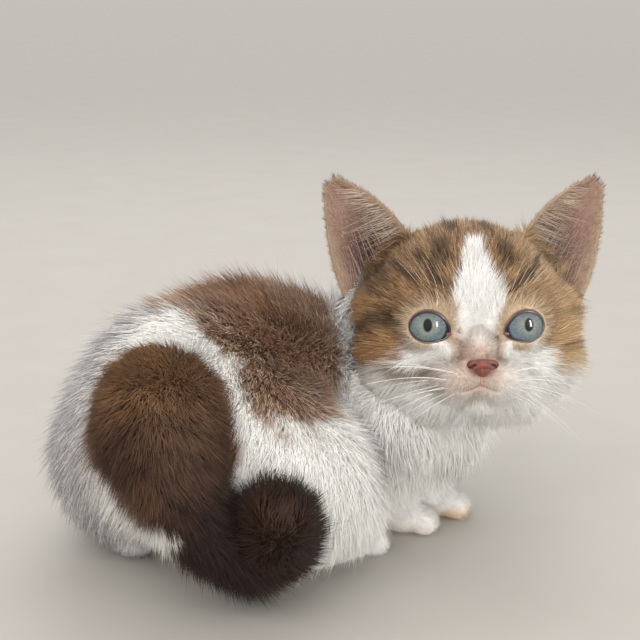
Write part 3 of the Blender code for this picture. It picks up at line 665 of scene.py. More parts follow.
def headMarkings(q, normals):
    wobble = waves(q, 7.0, 11) * 0.9
    x, y, z = q.T
    side = np.abs(x)
    coat = Paint(mixed(palette["tabby"], palette["tan"], ramp(2.0, 26.0, x) * 0.95),
                 mixed(palette["tabbyTip"], palette["cream"], ramp(4.0, 26.0, x) * 0.5))
    streaks = ramp(0.0, 1.0, waves(q * (2.4, 0.6, 0.6), 6.0, 12)) * ramp(4, 9, y)
    coat.base = mixed(coat.base, palette["tabbyDark"], 0.6 * streaks)
    # dark spots and stripes, and bands behind the ears
    dark = np.clip(marked(q, "dark"), 0, 1)
    back = ramp(2.0, -8.0, z) * (y > -6) * ramp(0.0, 0.8, np.sin(x * 0.62 + wobble) + 0.1)
    dark = np.clip(dark + 0.6 * back, 0, 1)
    warm = np.clip(marked(q, "warm"), 0, 1)
    coat.base = mixed(coat.base, palette["orange"], warm * 0.6)
    coat.lay(palette["tabbyDark"], dark * 0.8, palette["tabbyDark"] * 1.5, dark * 0.65)
    coat.tip = mixed(coat.tip, palette["tan"], warm * 0.7)
    # white: the blaze, under the eyes, the muzzle, chin and throat
    blaze = ramp(1.0, -1.0, side - np.interp(y, *blazeHalf) - wobble * 0.8) * (z > -2)
    edgeY = np.interp(side, *cheekLine) + np.where(x > 0, 1.5 * ramp(20, 26, side), 0.0)
    soft = 1.3 + 2.2 * ramp(12, 22, side)
    low = ramp(soft, -soft, y - edgeY - wobble * 1.3 - 0.8 * waves(q * (0.5, 1.6, 0.5), 3.0, 13))
    throat = ramp(-4.0, -12.0, y + 0.35 * z)
    white = np.maximum.reduce([blaze, low, throat * ramp(8.0, -4.0, z)])
    # a pale ring round the lids
    ring = np.exp(-((fromEyes(q) - 1.6) / 1.2) ** 2) * (z > 4) * (0.55 + 0.3 * ramp(1.0, -2.0, y))
    coat.lay(palette["cream"], ring)
    coat.lay(palette["white"], white)
    # brown streaks on the pad, and the thinly haired muzzle and bridge
    pad = np.clip(marked(q, "pads") * (z > 8), 0, 1)
    coat.lay(palette["tabby"], pad, palette["tabby"] * 1.2, pad * 0.8)
    snout = marked(q, "snout") * (z > 20)
    bridge = marked(q, "bridge") * (z > 20)
    beside = marked(q, "beside") * (z > 15)
    tint = np.clip(snout * 0.85 + bridge * 0.95 + 0.55 * beside + 0.3 * bridge * wobble, 0, 0.95)
    coat.lay(palette["muzzle"], tint, palette["muzzle"], tint * 0.85)
    bare = np.clip(0.15 * white + 0.1 * snout + 0.1 * bridge, 0, 1)
    skinTone = mixed(coat.base, palette["pink"], bare)
    # the ears: pale rim, tabby back with a darker tip, pink inside with painted shade deep in the hollow
    nq = normals @ headRows.T
    part, high, over = earField(q)
    inner = insideEar(nq, part, high, over)
    outer = part * (1 - inner)
    rear = outer * ramp(0.1, -0.5, nq[:, 2]) * ramp(0.97, 0.78, np.abs(over))
    coat.lay(palette["earRim"], outer * 0.9, palette["cream"], outer * 0.8)
    coat.lay(palette["tabby"], rear * 0.8, palette["tabbyTip"], rear * 0.8)
    coat.base = mixed(coat.base, palette["tabbyDark"], rear * ramp(0.7, 1.0, high) * 0.4)
    # painted shade: darker deep in the ear's hollow, more so in the cat's right ear
    depth = ramp(0.78, 0.2, high) * ramp(1.1, 0.3, np.abs(over - 0.1)) * np.where(x < 0, 1.0, 0.7)
    innerTone = mixed(palette["earPink"], palette["earHollowShade"], depth)
    innerTone = mixed(innerTone, palette["earRim"], ramp(0.6, 0.92, np.abs(over)) * 0.75)
    coat.lay(innerTone, inner, palette["cream"], inner)
    skinTone = mixed(skinTone, innerTone, inner)
    skinTone = mixed(skinTone, palette["earRim"], outer * 0.7)
    return coat.base, coat.tip, skinTone


# The saddle is bounded by a height and by two slanting lines: where they start, their slope and its zero
saddleEdge = {"low": 47.5, "rear": (-29.0, 0.24, 73.0), "front": (17.0, 0.55, 62.5), "soft": (-1.2, 2.2)}
rumpPatch = {"centre": (0.0, -46.0, 45.0), "radii": (19.0, 21.0, 20.0), "soft": (1.12, 0.96), "left": -22.0}
# Below this share of its thickness the tail is white, by the way along it
tailCut = ([0.0, 1.0, 2.0, 2.8, 3.4, 4.2], [1.0, 0.84, 0.52, 0.32, 0.62, 1.3])
tailUnder = (-0.31, -0.65, -0.68)
saddleCorner = ((18.0, 13.0, 33.0), 10.0)


def bodyMarkings(p, field):
    x, y, z = p.T
    along = field["along"]
    wobble = waves(p, 13.0, 21) * 2.2
    fine = waves(p, 5.0, 22)
    coat = Paint(*np.tile(palette["white"], (2, len(p), 1)))
    # the brown saddle, with paler tips towards its edges
    start, slope, level = saddleEdge["rear"]
    rear = start + slope * (level - z)
    start, slope, level = saddleEdge["front"]
    front = start - slope * (level - z)
    inside = np.minimum.reduce([z - saddleEdge["low"], y - rear, front - y]) + wobble
    inside = inside + 1.3 * waves(p * (1.0, 0.5, 0.8), 2.4, 24)
    saddle = ramp(*saddleEdge["soft"], inside)
    brown = mixed(palette["saddle"], palette["saddleDark"], ramp(-0.2, 1.0, waves(p, 16.0, 23)) * 0.8)
    pale = np.clip(0.25 + 0.75 * np.exp(-(inside / 10.0) ** 2) + 0.2 * fine, 0, 1)
    coat.lay(brown, saddle, mixed(brown * 1.3, palette["saddleTip"], pale), saddle)
    # the patch at the root of the tail, and the tail itself, white along its underside
    d = (p - rumpPatch["centre"]) / rumpPatch["radii"]
    rump = ramp(*rumpPatch["soft"], np.linalg.norm(d, axis=1) + wobble * 0.02)
    onTail = ramp(0.25, 0.6, field["tail"])
    rump = np.maximum(rump * (x > rumpPatch["left"]), onTail)
    core = np.stack([np.interp(along, range(8), [c[i] for c, _ in tail]) for i in range(3)], axis=1)
    under = ((p - core) @ tailUnder) / np.interp(along, range(8), [r for _, r in tail])
    cut = np.interp(along, *tailCut) + 0.05 * fine
    rump = rump * (1 - ramp(cut - 0.08, cut + 0.08, under) * onTail)
    rump = rump * np.maximum(onTail, ramp(33.0, 38.0, z + wobble))
    # darker along the tail and to its right, and at the middle of the rump
    shade = ramp(0.5, 3.6, along) * onTail
    rightSide = ramp(-6.0, 10.0, x - core[:, 0])
    middle = near(p[:, [0, 2]], 8.0, 50.0, 9.0, 8.0, 0.0, 0.6) * (y < -40) * 0.45
    shade = np.clip(shade * (0.55 + 0.75 * rightSide) + middle + 0.12 * fine, 0, 1)
    ground = mixed(palette["rump"], palette["rumpGold"], ramp(52.0, 68.0, z) * 0.55)
    ground = mixed(ground, palette["dark"], shade)
    ground = mixed(ground, palette["ball"], ramp(5.4, 6.6, along) * onTail)
    coat.lay(ground * 0.9, rump, ground * 1.6 + 0.012, rump)
    coat.tip = mixed(coat.tip, palette["wisp"], onTail * ramp(14.0, 5.0, z) * 0.7)
    # greyer at the rump's rear and far flank, partly the fur's own grey-lilac and partly painted shade where
    # those sides turn from the lights; greyer too beside the saddle
    behind = ramp(4.0, -8.0, x + 16.0) * ramp(-8.0, -30.0, y)
    flank = 0.8 * ramp(-26.0, -44.0, x) * ramp(2.0, -20.0, y) * (z > 20)
    # rear and far flank: the fur's own grey together with painted shade
    greyAndPaintedShade = np.maximum(behind, flank) * (1 - rump) * (1 - saddle)
    band = ramp(-9.0, -1.0, inside) * (1 - saddle) * (y > 0)
    place, reach = saddleCorner
    edge = np.exp(-(np.linalg.norm(p - place, axis=1) / reach) ** 2)
    grey = np.clip(0.75 * greyAndPaintedShade + 0.45 * band + 0.55 * edge, 0, 1)
    coat.base = mixed(coat.base, palette["shade"], grey)
    # the yellowish sole of the fore paws
    stain = ramp(6.5, 2.0, z) * (y > 24) * (x > 2) * (0.25 + 0.5 * ramp(35, 44, y))
    coat.lay(palette["stain"], stain, palette["stain"], stain * 0.7)
    return coat.base, coat.tip, grey, np.maximum(saddle, rump)


# Everything the coat needs to know at a point of the skin

furLengths = {"nose": 1.5, "perStep": 0.2, "most": 6.2, "ear": 2.5, "nearLids": 1.5}
faceLie = {"from": (0.0, -7.0, 34.0), "cheekDown": 5.0, "toNeck": 0.85, "offLids": 2.5, "overRim": 0.5}
faceLift = {"least": 27.0, "back": 6.0, "ear": -8.0, "rim": 10.0}


def survey(p, n):
    body = bodyField(p)
    q = toHead(p)
    nq = n @ headRows.T
    close = np.full(len(p), 9.0)
    for centre, radii, _ in skullBalls():
        close = np.minimum(close, np.linalg.norm((q - centre) / radii, axis=1))
    ear, high, over = earField(q)
    w = np.maximum(ramp(0.16, -0.16, close - body["close"]), ear)
    inner = insideEar(nq, ear, high, over)
    gap = fromEyes(q)
    x, y, z = np.abs(q[:, 0]), q[:, 1], q[:, 2]
    lie = q - faceLie["from"]
    lie[:, 1] -= faceLie["cheekDown"] * ramp(8.0, 20.0, x) * ramp(8.0, -8.0, y)
    toNeck = unit(np.array(nape) - q)  # behind the cheeks the fur turns in to the neck
    clearOfEars = np.maximum(ramp(14.0, 4.0, y), ramp(18.0, 9.0, x))
    lie = unit(mixed(unit(lie), toNeck, faceLie["toNeck"] * ramp(6.0, -10.0, z) * clearOfEars))
    atLids = ramp(4.0, 0.5, gap) * (z > 5)
    for side in sideNames:
        _, centre = eyeFrame(side)
        root, tip, across = earAxes(side)
        mine = q[:, 0] * side > 0
        lie = unit(lie + faceLie["offLids"] * (atLids * mine)[:, None] * unit(q - centre))
        rim = faceLie["overRim"] * ramp(0.55, 1.0, np.abs(over))[:, None]
        rise = unit(tip - root) + rim * np.sign(over)[:, None] * unit(across)
        lie = mixed(lie, unit(rise), ear * mine * (1 - inner))
        lie = mixed(lie, unit(np.array([side * 0.8, 0.6, 0.0])), ear * mine * inner)
    fromNose = np.linalg.norm(q - noseTip, axis=1)
    length = furLengths["nose"] + furLengths["perStep"] * np.maximum(fromNose - 5.0, 0)
    length = np.minimum(length, furLengths["most"])
    length *= 1.0 - 0.3 * ramp(4.0, 12.0, y) * ramp(-5.0, 8.0, z)
    atEdge = ramp(3.2, 0.5, gap)
    length = length * (1 - atEdge) + furLengths["nearLids"] * atEdge
    atRim = ramp(0.8, 1.0, np.abs(over))
    length = np.where(ear > 0.5, furLengths["ear"] * (1 - 0.2 * inner) * (1 - 0.35 * atRim), length)
    lift = faceLift["least"] + faceLift["back"] * ramp(10.0, 34.0, fromNose) + faceLift["ear"] * ear
    lift = lift + faceLift["rim"] * ear * atRim
    return {
        "lie": unit(mixed(body["lie"], lie @ headRows, w)),
        "length": body["length"] * (1 - w) + length * w,
        "lift": body["lift"] * (1 - w) + lift * w,
        "head": w, "inner": inner, "over": over, "gap": gap, "q": q,
        "tail": body["tail"] * (1 - w), "foot": body["foot"] * (1 - w), "along": body["along"],
    }


def markings(p, n, seen):
    base, tip, skinTone = headMarkings(seen["q"], n)
    bodyBase, bodyTip, grey, brown = bodyMarkings(p, seen)
    w = seen["head"]
    bodyTone = mixed(bodyBase, palette["pink"], 0.1 * (1 - brown))
    return mixed(bodyBase, base, w), mixed(bodyTip, tip, w), mixed(bodyTone, skinTone, w), grey * (1 - w)


# The coat: closed spikes in great number, sown on the skin

skinMesh = skin.data
skinPoints = pointsOf(skinMesh)
cornerOf = np.empty(len(skinMesh.loops), np.int32)
skinMesh.loops.foreach_get("vertex_index", cornerOf)
cornerOf = cornerOf.reshape(-1, 3)
skinUv = np.empty(len(skinMesh.loops) * 2, np.float32)
skinMesh.uv_layers["OFBake"].data.foreach_get("uv", skinUv)
skinUv = skinUv.reshape(-1, 3, 2)
skinNormals = np.empty(len(skinMesh.vertices) * 3, np.float32)
skinMesh.vertices.foreach_get("normal", skinNormals)
skinNormals = skinNormals.reshape(-1, 3).astype(float)
middles = skinPoints[cornerOf].mean(axis=1)
flat = np.cross(skinPoints[cornerOf[:, 1]] - skinPoints[cornerOf[:, 0]],
                skinPoints[cornerOf[:, 2]] - skinPoints[cornerOf[:, 0]])
areas = np.linalg.norm(flat, axis=1) / 2
seenSkin = survey(middles, unit(flat))
print("skin surveyed")


def mouthGap(q):  # distance to the line of the mouth, seen from the front
    best = np.full(len(q), farAway)
    for a, b in mouthStretches():
        best = np.minimum(best, offLine(q[:, :2], a, b)[0])
    return np.where(q[:, 2] > 15, best, farAway)


def bareness(q, gap):  # 0 where no fur grows: lids, nose leather, lips
    nose = np.hypot((q[:, 0] - 0.2) / 4.7, (q[:, 1] + 10.6) / 3.2)
    nose = np.where(q[:, 2] > 24, nose, farAway)
    return (gap > 0.75) * (nose > 1.0) * (mouthGap(q) > 0.32)


def sow(weight, count, draw):  # roots spread over the skin by that weight for each triangle
    share = np.cumsum(areas * weight)
    pick = np.searchsorted(share, draw.uniform(0, share[-1], count))
    a, b = draw.uniform(size=(2, count))
    fold = a + b > 1
    a, b = np.where(fold, 1 - a, a), np.where(fold, 1 - b, b)
    bary = np.stack([1 - a - b, a, b], axis=1)[:, :, None]
    corners = cornerOf[pick]
    return ((skinPoints[corners] * bary).sum(axis=1), unit((skinNormals[corners] * bary).sum(axis=1)),
            (skinUv[pick] * bary).sum(axis=1))


def clumped(root, middle, tip, every, pull, draw):
    seeds = draw.permutation(len(root))[::every]
    tree = KDTree(len(seeds))
    for i, s in enumerate(seeds):
        tree.insert(root[s], i)
    tree.balance()
    mate = seeds[[tree.find(p)[1] for p in root.tolist()]]
    pull = (pull * draw.uniform(0.4, 1.0, len(root)))[:, None]
    return middle + (middle[mate] - middle) * pull * 0.35, tip + (tip[mate] - tip) * pull


tuft = {"length": (0.7, 1.15), "lift": (0.75, 1.25), "width": (0.75, 1.25), "guardWidth": 0.7,
        "steepest": 86.0, "bendAt": 0.45, "floor": {"root": 0.1, "middle": 0.35, "tip": 0.12},
        "patch": 0.0012, "mostFaces": 190000}


# points, faces, places in the UV and normals
def tuftShape(bent, sunk, middle, tip, normals, side, t, wide, how):
    left, right = normals - how["round"] * side, normals + how["round"] * side
    ahead = normals + 0.3 * t
    if bent:  # a spindle: root, a ring of three where it is widest, tip
        top = middle + (normals * 0.6) * wide
        ring = [sunk, middle - side * wide / 2, middle + side * wide / 2, top, tip]
        faces = [(0, 1, 2), (0, 2, 3), (0, 3, 1), (2, 1, 4), (3, 2, 4), (1, 3, 4)]
        spots = [(0, -1.25), (-1, 0), (1, 0), (0, 0.1), (0, 1.25)]
        return ring, faces, spots, [normals, left, right, normals, ahead]
    # a thin pyramid
    ring = [sunk - side * wide / 2, sunk + side * wide / 2, sunk + (normals * 0.5 + t * 0.2) * wide, tip]
    faces = [(0, 1, 2), (1, 0, 3), (2, 1, 3), (0, 2, 3)]
    spots = [(-1, -1.25), (1, -1.25), (0, -1.1), (0, 1.25)]
    return ring, faces, spots, [left, right, normals, ahead]


def strands(name, roots, normals, uv, how, bent, seed):
    draw = np.random.default_rng(seed)
    count = len(roots)
    seen = survey(roots, normals)
    base, tipColour, _, grey = markings(roots, normals, seen)
    height = roots[:, 2]
    nearFloor = np.where(seen["tail"] > 0.5, ramp(1.0, 9.0, height), ramp(2.0, 15.0, height))
    own = seen["length"] * (0.5 + 0.5 * nearFloor)
    lie = seen["lie"]
    level = lie - normals * np.sum(lie * normals, axis=1)[:, None]
    reach = np.clip(np.linalg.norm(level, axis=1) / how["partingWidth"], 0, 1)[:, None]
    t = unit(level + 1e-4)
    swirl = draw.normal(0, how["stray"], count) + how["swirl"] * waves(roots, how["swirlSize"], seed + 1)
    t = t * np.cos(swirl)[:, None] + np.cross(t, normals) * np.sin(swirl)[:, None]
    side = np.cross(t, normals)
    length = own * how["length"] * draw.uniform(*tuft["length"], count)
    length = length * (1 + 0.12 * waves(roots, how["swirlSize"] * 1.3, seed + 2))
    length = length * (0.72 + 0.28 * reach[:, 0])
    guard = draw.uniform(size=count) < how["guards"]
    length = (length * np.where(guard, how["guardLength"], 1.0))[:, None]
    lift = seen["lift"] * how["lift"] * draw.uniform(*tuft["lift"], count)
    lift = lift + np.where(guard, how["guardLift"], 0)
    lift = np.radians(np.minimum(lift, tuft["steepest"]))

    def heading(angle):
        return unit(t * np.cos(angle)[:, None] * reach + normals * np.sin(angle)[:, None])

    middle = roots + heading(lift) * (length * tuft["bendAt"])
    if bent:
        onward = heading(lift * how["lay"]) + draw.normal(0, 0.08, (count, 3))
        tip = middle + onward * (length * (1 - tuft["bendAt"]))
    else:
        tip = roots + (heading(lift) + draw.normal(0, 0.05, (count, 3))) * length
    plain = ramp(0.35, 0.7, base.mean(axis=1)) * (1 - grey)
    middle, tip = clumped(roots, middle, tip, how["clump"], how["pull"] * (1 - 0.6 * plain), draw)
    wide = how["width"] * draw.uniform(*tuft["width"], count) * np.where(guard, tuft["guardWidth"], 1.0)
    wide = (wide * np.clip(own / how["fullWidthAt"], 0.55, 1.0))[:, None]
    sunk = roots - normals * how["sunk"]
    for points, part in ((sunk, "root"), (middle, "middle"), (tip, "tip")):
        points[:, 2] = np.maximum(points[:, 2], tuft["floor"][part])
    # the tip's colour differs a little from hair to hair
    shade = 1.0 + draw.normal(0.0, how["shades"], count) * (1 - how["calm"] * plain)
    shade = (shade * (1 + 0.06 * waves(roots, 6.0, seed + 3)))[:, None]
    pale = np.where(draw.uniform(size=count) < how["tipShare"], draw.uniform(0.5, 1.0, count),
                    draw.uniform(0.0, 0.3, count))
    base = base * shade
    tipColour = mixed(base * 1.08, tipColour * shade, pale)
    greyTips = (draw.uniform(size=count) < grey * np.where(guard, 1.0, 0.6)) * draw.uniform(0.5, 1.0, count)
    tipColour = mixed(tipColour, palette["greyTip"], greyTips)
    ring, faces, spots, turned = tuftShape(bent, sunk, middle, tip, normals, side, t, wide, how)
    # painted shade: each hair a little darker at its root, down among the other hairs
    if bent:
        colours = [base * 0.9] + [mixed(base, tipColour, 0.45)] * 3 + [tipColour]
    else:
        colours = [base * 0.92] * 3 + [tipColour]
    points, faces, colours = np.stack(ring, axis=1), np.array(faces), np.stack(colours, axis=1)
    turned = unit(np.stack(turned, axis=1))  # shaded with the body's own roundness, as soft fur is
    uvs = np.clip(uv[:, None, :] + np.array(spots) * tuft["patch"], 0.0, 1.0)
    pieces = math.ceil(count * len(faces) / tuft["mostFaces"])
    order = np.argsort(roots @ np.array(how["sortBy"]), kind="stable")
    made = []
    for i, chunk in enumerate(np.array_split(order, pieces)):
        chunk = np.sort(chunk)
        steps = np.arange(len(chunk))[:, None, None] * len(ring)
        corners = (faces[None] + steps).reshape(-1, 3)
        mesh = newMesh(name + str(i + 1), points[chunk].reshape(-1, 3), corners)
        layer = mesh.uv_layers.new(name="OFBake")
        places = uvs[chunk].reshape(-1, 2)[corners.ravel()]
        layer.data.foreach_set("uv", places.astype(np.float32).ravel())
        giveColour(mesh, colours[chunk].reshape(-1, 3))
        mesh.shade_smooth()
        mesh.normals_split_custom_set_from_vertices(turned[chunk].reshape(-1, 3))
        mesh.materials.append(furMaterial)
        made.append(newObject(name + str(i + 1), mesh))
    print(name, count, "tufts in", pieces, "pieces")
    return made


# Materials

furLook = {"Roughness": 0.62, "Specular IOR Level": 0.14, "Sheen Weight": 0.04, "Sheen Roughness": 0.4}
moistLook = {"Specular IOR Level": 0.5, "Sheen Weight": 0.0, "Sheen Roughness": 0.4, "Coat Roughness": 0.25}
eyeLook = {"Roughness": 0.35, "Specular IOR Level": 0.1, "Coat Weight": 1.0, "Coat Roughness": 0.02,
           "Coat IOR": 1.36}


def setInputs(tree, node, inputs):  # each input gets a value, or a link from another node
    for name, value in inputs.items():
        if isinstance(value, bpy.types.NodeSocket):
            tree.links.new(value, node.inputs[name])
        else:
            node.inputs[name].default_value = value


def addNode(tree, kind, inputs=None, **fields):
    node = tree.nodes.new(kind)
    for field, value in fields.items():
        setattr(node, field, value)
    setInputs(tree, node, inputs or {})
    return node


def newMaterial(name):
    material = bpy.data.materials.new(name)
    material.use_nodes = True
    return material, material.node_tree, material.node_tree.nodes["Principled BSDF"]


def addPlace(tree):
    return addNode(tree, "ShaderNodeTexCoord").outputs["Object"]


def addNoise(tree, place, grain, detail=2.0):
    inputs = {"Vector": place, "Scale": grain, "Detail": detail}
    return addNode(tree, "ShaderNodeTexNoise", inputs).outputs["Fac"]


def makeFur(name, grain, strength, look):  # the mesh's own colours, a little mottled
    material, tree, shader = newMaterial(name)
    colour = addNode(tree, "ShaderNodeAttribute", attribute_name="coatColour").outputs["Color"]
    place = addPlace(tree)
    mottle = {"Value": addNoise(tree, place, grain, 3.0), "To Min": 1.0 - strength, "To Max": 1.0 + strength}
    spread = addNode(tree, "ShaderNodeMapRange", mottle).outputs["Result"]
    blend = addNode(tree, "ShaderNodeVectorMath", {0: colour, "Scale": spread}, operation="SCALE")
    setInputs(tree, shader, {"Base Color": blend.outputs["Vector"], **look})
    return material, tree, shader, place


def addBump(tree, shader, height, strength, depth):
    bump = addNode(tree, "ShaderNodeBump", {"Height": height, "Strength": strength, "Distance": depth})
    setInputs(tree, shader, {"Normal": bump.outputs["Normal"]})


def makeSkinMaterial():
    material, tree, shader, place = makeFur("kittenSkin", 900.0, 0.2, {**furLook, "Sheen Weight": 0.05})
    addBump(tree, shader, addNoise(tree, place, 2400.0, 4.0), 0.5, 0.0003)
    return material


def makeLeather(name, roughness, coatWeight, grain):  # nose, lids and lips: bare moist skin
    look = {**moistLook, "Roughness": roughness, "Coat Weight": coatWeight}
    material, tree, shader, place = makeFur(name, 1500.0, 0.12, look)
    cells = addNode(tree, "ShaderNodeTexVoronoi", {"Vector": place, "Scale": grain})
    addBump(tree, shader, cells.outputs["Distance"], 0.35, 0.0001)
    return material


def makeMottled(name, grain, dark, pale, look):
    material, tree, shader = newMaterial(name)
    ramps = addNode(tree, "ShaderNodeValToRGB", {"Fac": addNoise(tree, addPlace(tree), grain)})
    for element, colour in zip(ramps.color_ramp.elements, (dark, pale)):
        element.color = (*colour, 1)
    setInputs(tree, shader, {"Base Color": ramps.outputs["Color"], **look})
    return material


irisLook = {"radius": 5.35, "pupilWide": 1.1, "pupilHigh": 1.65, "pupilUp": 0.35, "fibre": 5.0, "along": 0.35}
irisTones = {"inner": (tone(106, 114, 106), tone(140, 146, 136)),
             "outer": (tone(82, 95, 98), tone(124, 137, 138)),
             "paintedLidShadow": tone(58, 66, 70), "lowBlue": tone(100, 128, 152), "edge": tone(26, 32, 44),
             "pupil": tone(8, 9, 12), "white": tone(52, 34, 32)}


def makeIris():
    material, tree, shader = newMaterial("wetEye")
    # millimetres across and up from the gaze, from the mesh itself
    gaze = addNode(tree, "ShaderNodeAttribute", attribute_name="gaze")
    parts = addNode(tree, "ShaderNodeSeparateXYZ", {0: gaze.outputs["Vector"]})

    def maths(operation, *values):
        return addNode(tree, "ShaderNodeMath", dict(enumerate(values)), operation=operation).outputs[0]

    def between(value, low, high):
        limits = {"Value": value, "From Min": low, "From Max": high}
        return addNode(tree, "ShaderNodeMapRange", limits, interpolation_type="SMOOTHSTEP").outputs["Result"]

    def mixColour(factor, a, b):
        a, b = ((*c, 1.0) if isinstance(c, np.ndarray) else c for c in (a, b))
        mix = addNode(tree, "ShaderNodeMix", {"Factor": factor, "A": a, "B": b}, data_type="RGBA")
        return mix.outputs["Result"]

    def hypotenuse(a, b):
        return maths("SQRT", maths("ADD", maths("POWER", a, 2.0), maths("POWER", b, 2.0)))

    x, y = parts.outputs["X"], parts.outputs["Y"]
    radius, angle = hypotenuse(x, y), maths("ARCTAN2", y, x)
    # fibres run from the pupil outwards, so the noise is read by angle, stretched along the radius
    ray = addNode(tree, "ShaderNodeCombineXYZ", {
        "X": maths("MULTIPLY", maths("COSINE", angle), irisLook["fibre"]),
        "Y": maths("MULTIPLY", maths("SINE", angle), irisLook["fibre"]),
        "Z": maths("MULTIPLY", radius, irisLook["along"])})
    grain = {"Vector": ray.outputs[0], "Scale": 2.6, "Detail": 5.0, "Roughness": 0.65}
    fibres = between(addNode(tree, "ShaderNodeTexNoise", grain).outputs["Fac"], 0.32, 0.7)
    inner, outer = (mixColour(fibres, *irisTones[name]) for name in ("inner", "outer"))
    iris = mixColour(between(radius, 1.5, 3.9), inner, outer)
    # painted shadow of the upper lid, darkening the top of the iris
    iris = mixColour(maths("MULTIPLY", between(y, 0.8, 4.6), 0.6), iris, irisTones["paintedLidShadow"])
    low = maths("SUBTRACT", maths("MULTIPLY", x, -0.8), y)
    iris = mixColour(maths("MULTIPLY", between(low, 2.2, 6.0), 0.45), iris, irisTones["lowBlue"])
    rim = irisLook["radius"]
    iris = mixColour(between(radius, rim - 0.85, rim - 0.1), iris, irisTones["edge"])
    flatX = maths("DIVIDE", x, irisLook["pupilWide"])
    flatY = maths("DIVIDE", maths("SUBTRACT", y, irisLook["pupilUp"]), irisLook["pupilHigh"])
    iris = mixColour(between(hypotenuse(flatX, flatY), 1.35, 0.9), iris, irisTones["pupil"])
    ball = mixColour(between(radius, rim - 0.05, rim + 0.25), iris, irisTones["white"])
    setInputs(tree, shader, {"Base Color": ball, **eyeLook})
    return material


hornLook = {"Roughness": 0.35, "Sheen Weight": 0.1}
furMaterial = makeFur("kittenFur", 260.0, 0.1, furLook)[0]
skinMaterial = makeSkinMaterial()
noseMaterial = makeLeather("noseLeather", 0.6, 0.05, 2600.0)
lidMaterial = makeLeather("moistLid", 0.4, 0.35, 3200.0)
eyeMaterial = makeIris()
whiskerMaterial = makeMottled("whiskerHorn", 300.0, tone(226, 220, 212), tone(250, 248, 244), hornLook)
earHairMaterial = makeMottled("paleEarHair", 300.0, tone(196, 170, 144), tone(236, 222, 204), hornLook)

skinTone = markings(skinPoints, skinNormals, survey(skinPoints, skinNormals))[2]
giveColour(skinMesh, skinTone)
skinMesh.materials.append(skinMaterial)
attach(skin, "root")
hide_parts("head", "neck", "chest", "torso", "hips", "hind_leg_left", "hind_leg_right",
            "hind_foot_left", "hind_foot_right", "fore_leg_left", "fore_leg_right", "fore_paw_left",
            "fore_paw_right", "tail_root", "tail_middle", "tail_tip", "ear_left", "ear_right")

bodyCoat = {"length": 1.0, "lift": 1.0, "lay": 0.75, "stray": 0.2, "swirl": 0.18, "swirlSize": 18.0,
            "guards": 0.16, "guardLength": 1.55, "guardLift": 16.0, "clump": 9, "pull": 0.5, "width": 0.25,
            "fullWidthAt": 7.0, "sunk": 0.5, "shades": 0.16, "tipShare": 0.5, "partingWidth": 0.6,
            "round": 0.65, "calm": 0.7, "sortBy": (0.0, 1.0, 0.0)}
tailCoat = {**bodyCoat, "lay": 0.8, "stray": 0.28, "swirl": 0.25, "swirlSize": 12.0, "guards": 0.15,
            "guardLength": 1.3, "guardLift": 6.0, "clump": 11, "width": 0.24, "shades": 0.13,
            "sortBy": (0.0, 0.0, 1.0)}
headCoat = {**bodyCoat, "swirl": 0.22, "swirlSize": 8.0, "guards": 0.08, "guardLength": 1.3,
            "guardLift": 10.0, "pull": 0.6, "width": 0.24, "fullWidthAt": 4.0, "sunk": 0.3,
            "shades": 0.28, "tipShare": 0.36, "round": 0.95, "calm": 0.45, "sortBy": (0.6, 0.75, 0.0)}
footCoat = {**headCoat, "swirl": 0.12, "clump": 8, "pull": 0.35, "sortBy": (0.0, 1.0, 0.0)}


def growCoat():
    q, gap = seenSkin["q"], seenSkin["gap"]
    offFloor = middles[:, 2] > 0.6
    isHead = seenSkin["head"] > 0.45
    isTail = (seenSkin["tail"] > 0.5) & ~isHead
    isFoot = (seenSkin["foot"] > 0.55) & ~isHead & offFloor
    isBody = ~(isHead | isTail | isFoot) & offFloor
    # closer round the nose, and thinner inside the ears but for their rim
    face = 1.0 + 0.9 * ramp(22.0, 8.0, np.linalg.norm(q - noseTip, axis=1)) * (q[:, 2] > 5)
    inEar = 0.75 + 0.5 * ramp(0.4, 0.85, np.abs(seenSkin["over"]))
    dense = np.where(seenSkin["inner"] > 0.5, inEar, 1.0) * face
    groups = [
        ("coatHead", isHead * bareness(q, gap) * dense, 100000, headCoat, False, 31),
        ("coatBody", isBody * 1.0, 124000, bodyCoat, True, 41),
        ("coatTail", isTail * 1.0, 40000, tailCoat, True, 51),
        ("coatFeet", isFoot * 1.0, 18000, footCoat, False, 61),
    ]
    made = []
    for name, weight, count, how, bent, seed in groups:
        print(name, round(float((areas * weight).sum())), "square millimetres")
        roots, normals, uv = sow(weight, count, np.random.default_rng(seed))
        made += strands(name, roots, normals, uv, how, bent, seed + 5)
    return made


for piece in growCoat():
    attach(piece, "root")


# Eyes

eyeGrid = {"rings": 60, "segments": 96, "bulge": 0.4, "bulgeWidth": 4.6}
lids = {"steps": 120, "around": 14, "out": 0.14, "above": 0.12, "width": (0.42, 0.22), "height": (0.34, 0.16)}
lidTones = {"low": tone(186, 150, 136), "high": tone(112, 82, 74), "edge": tone(38, 28, 32),
            "fur": tone(206, 178, 156)}
tear = {"angle": 203, "inside": 0.35, "above": 0.05, "radii": (1.25, 0.5, 0.3), "tone": tone(112, 66, 62)}


def fromGaze(theta, phi):  # directions by their angle off the gaze and the angle round it
    return np.stack([np.sin(theta) * np.cos(phi), np.sin(theta) * np.sin(phi), np.cos(theta)], axis=-1)


def tubePoints(path, sideways, outwards, wide, high, around):
    turn = np.arange(around) * 2 * math.pi / around
    return (path[:, None] + sideways[:, None] * (np.cos(turn)[None, :, None] * wide[:, None, None])
            + outwards[:, None] * (np.sin(turn)[None, :, None] * high[:, None, None]))


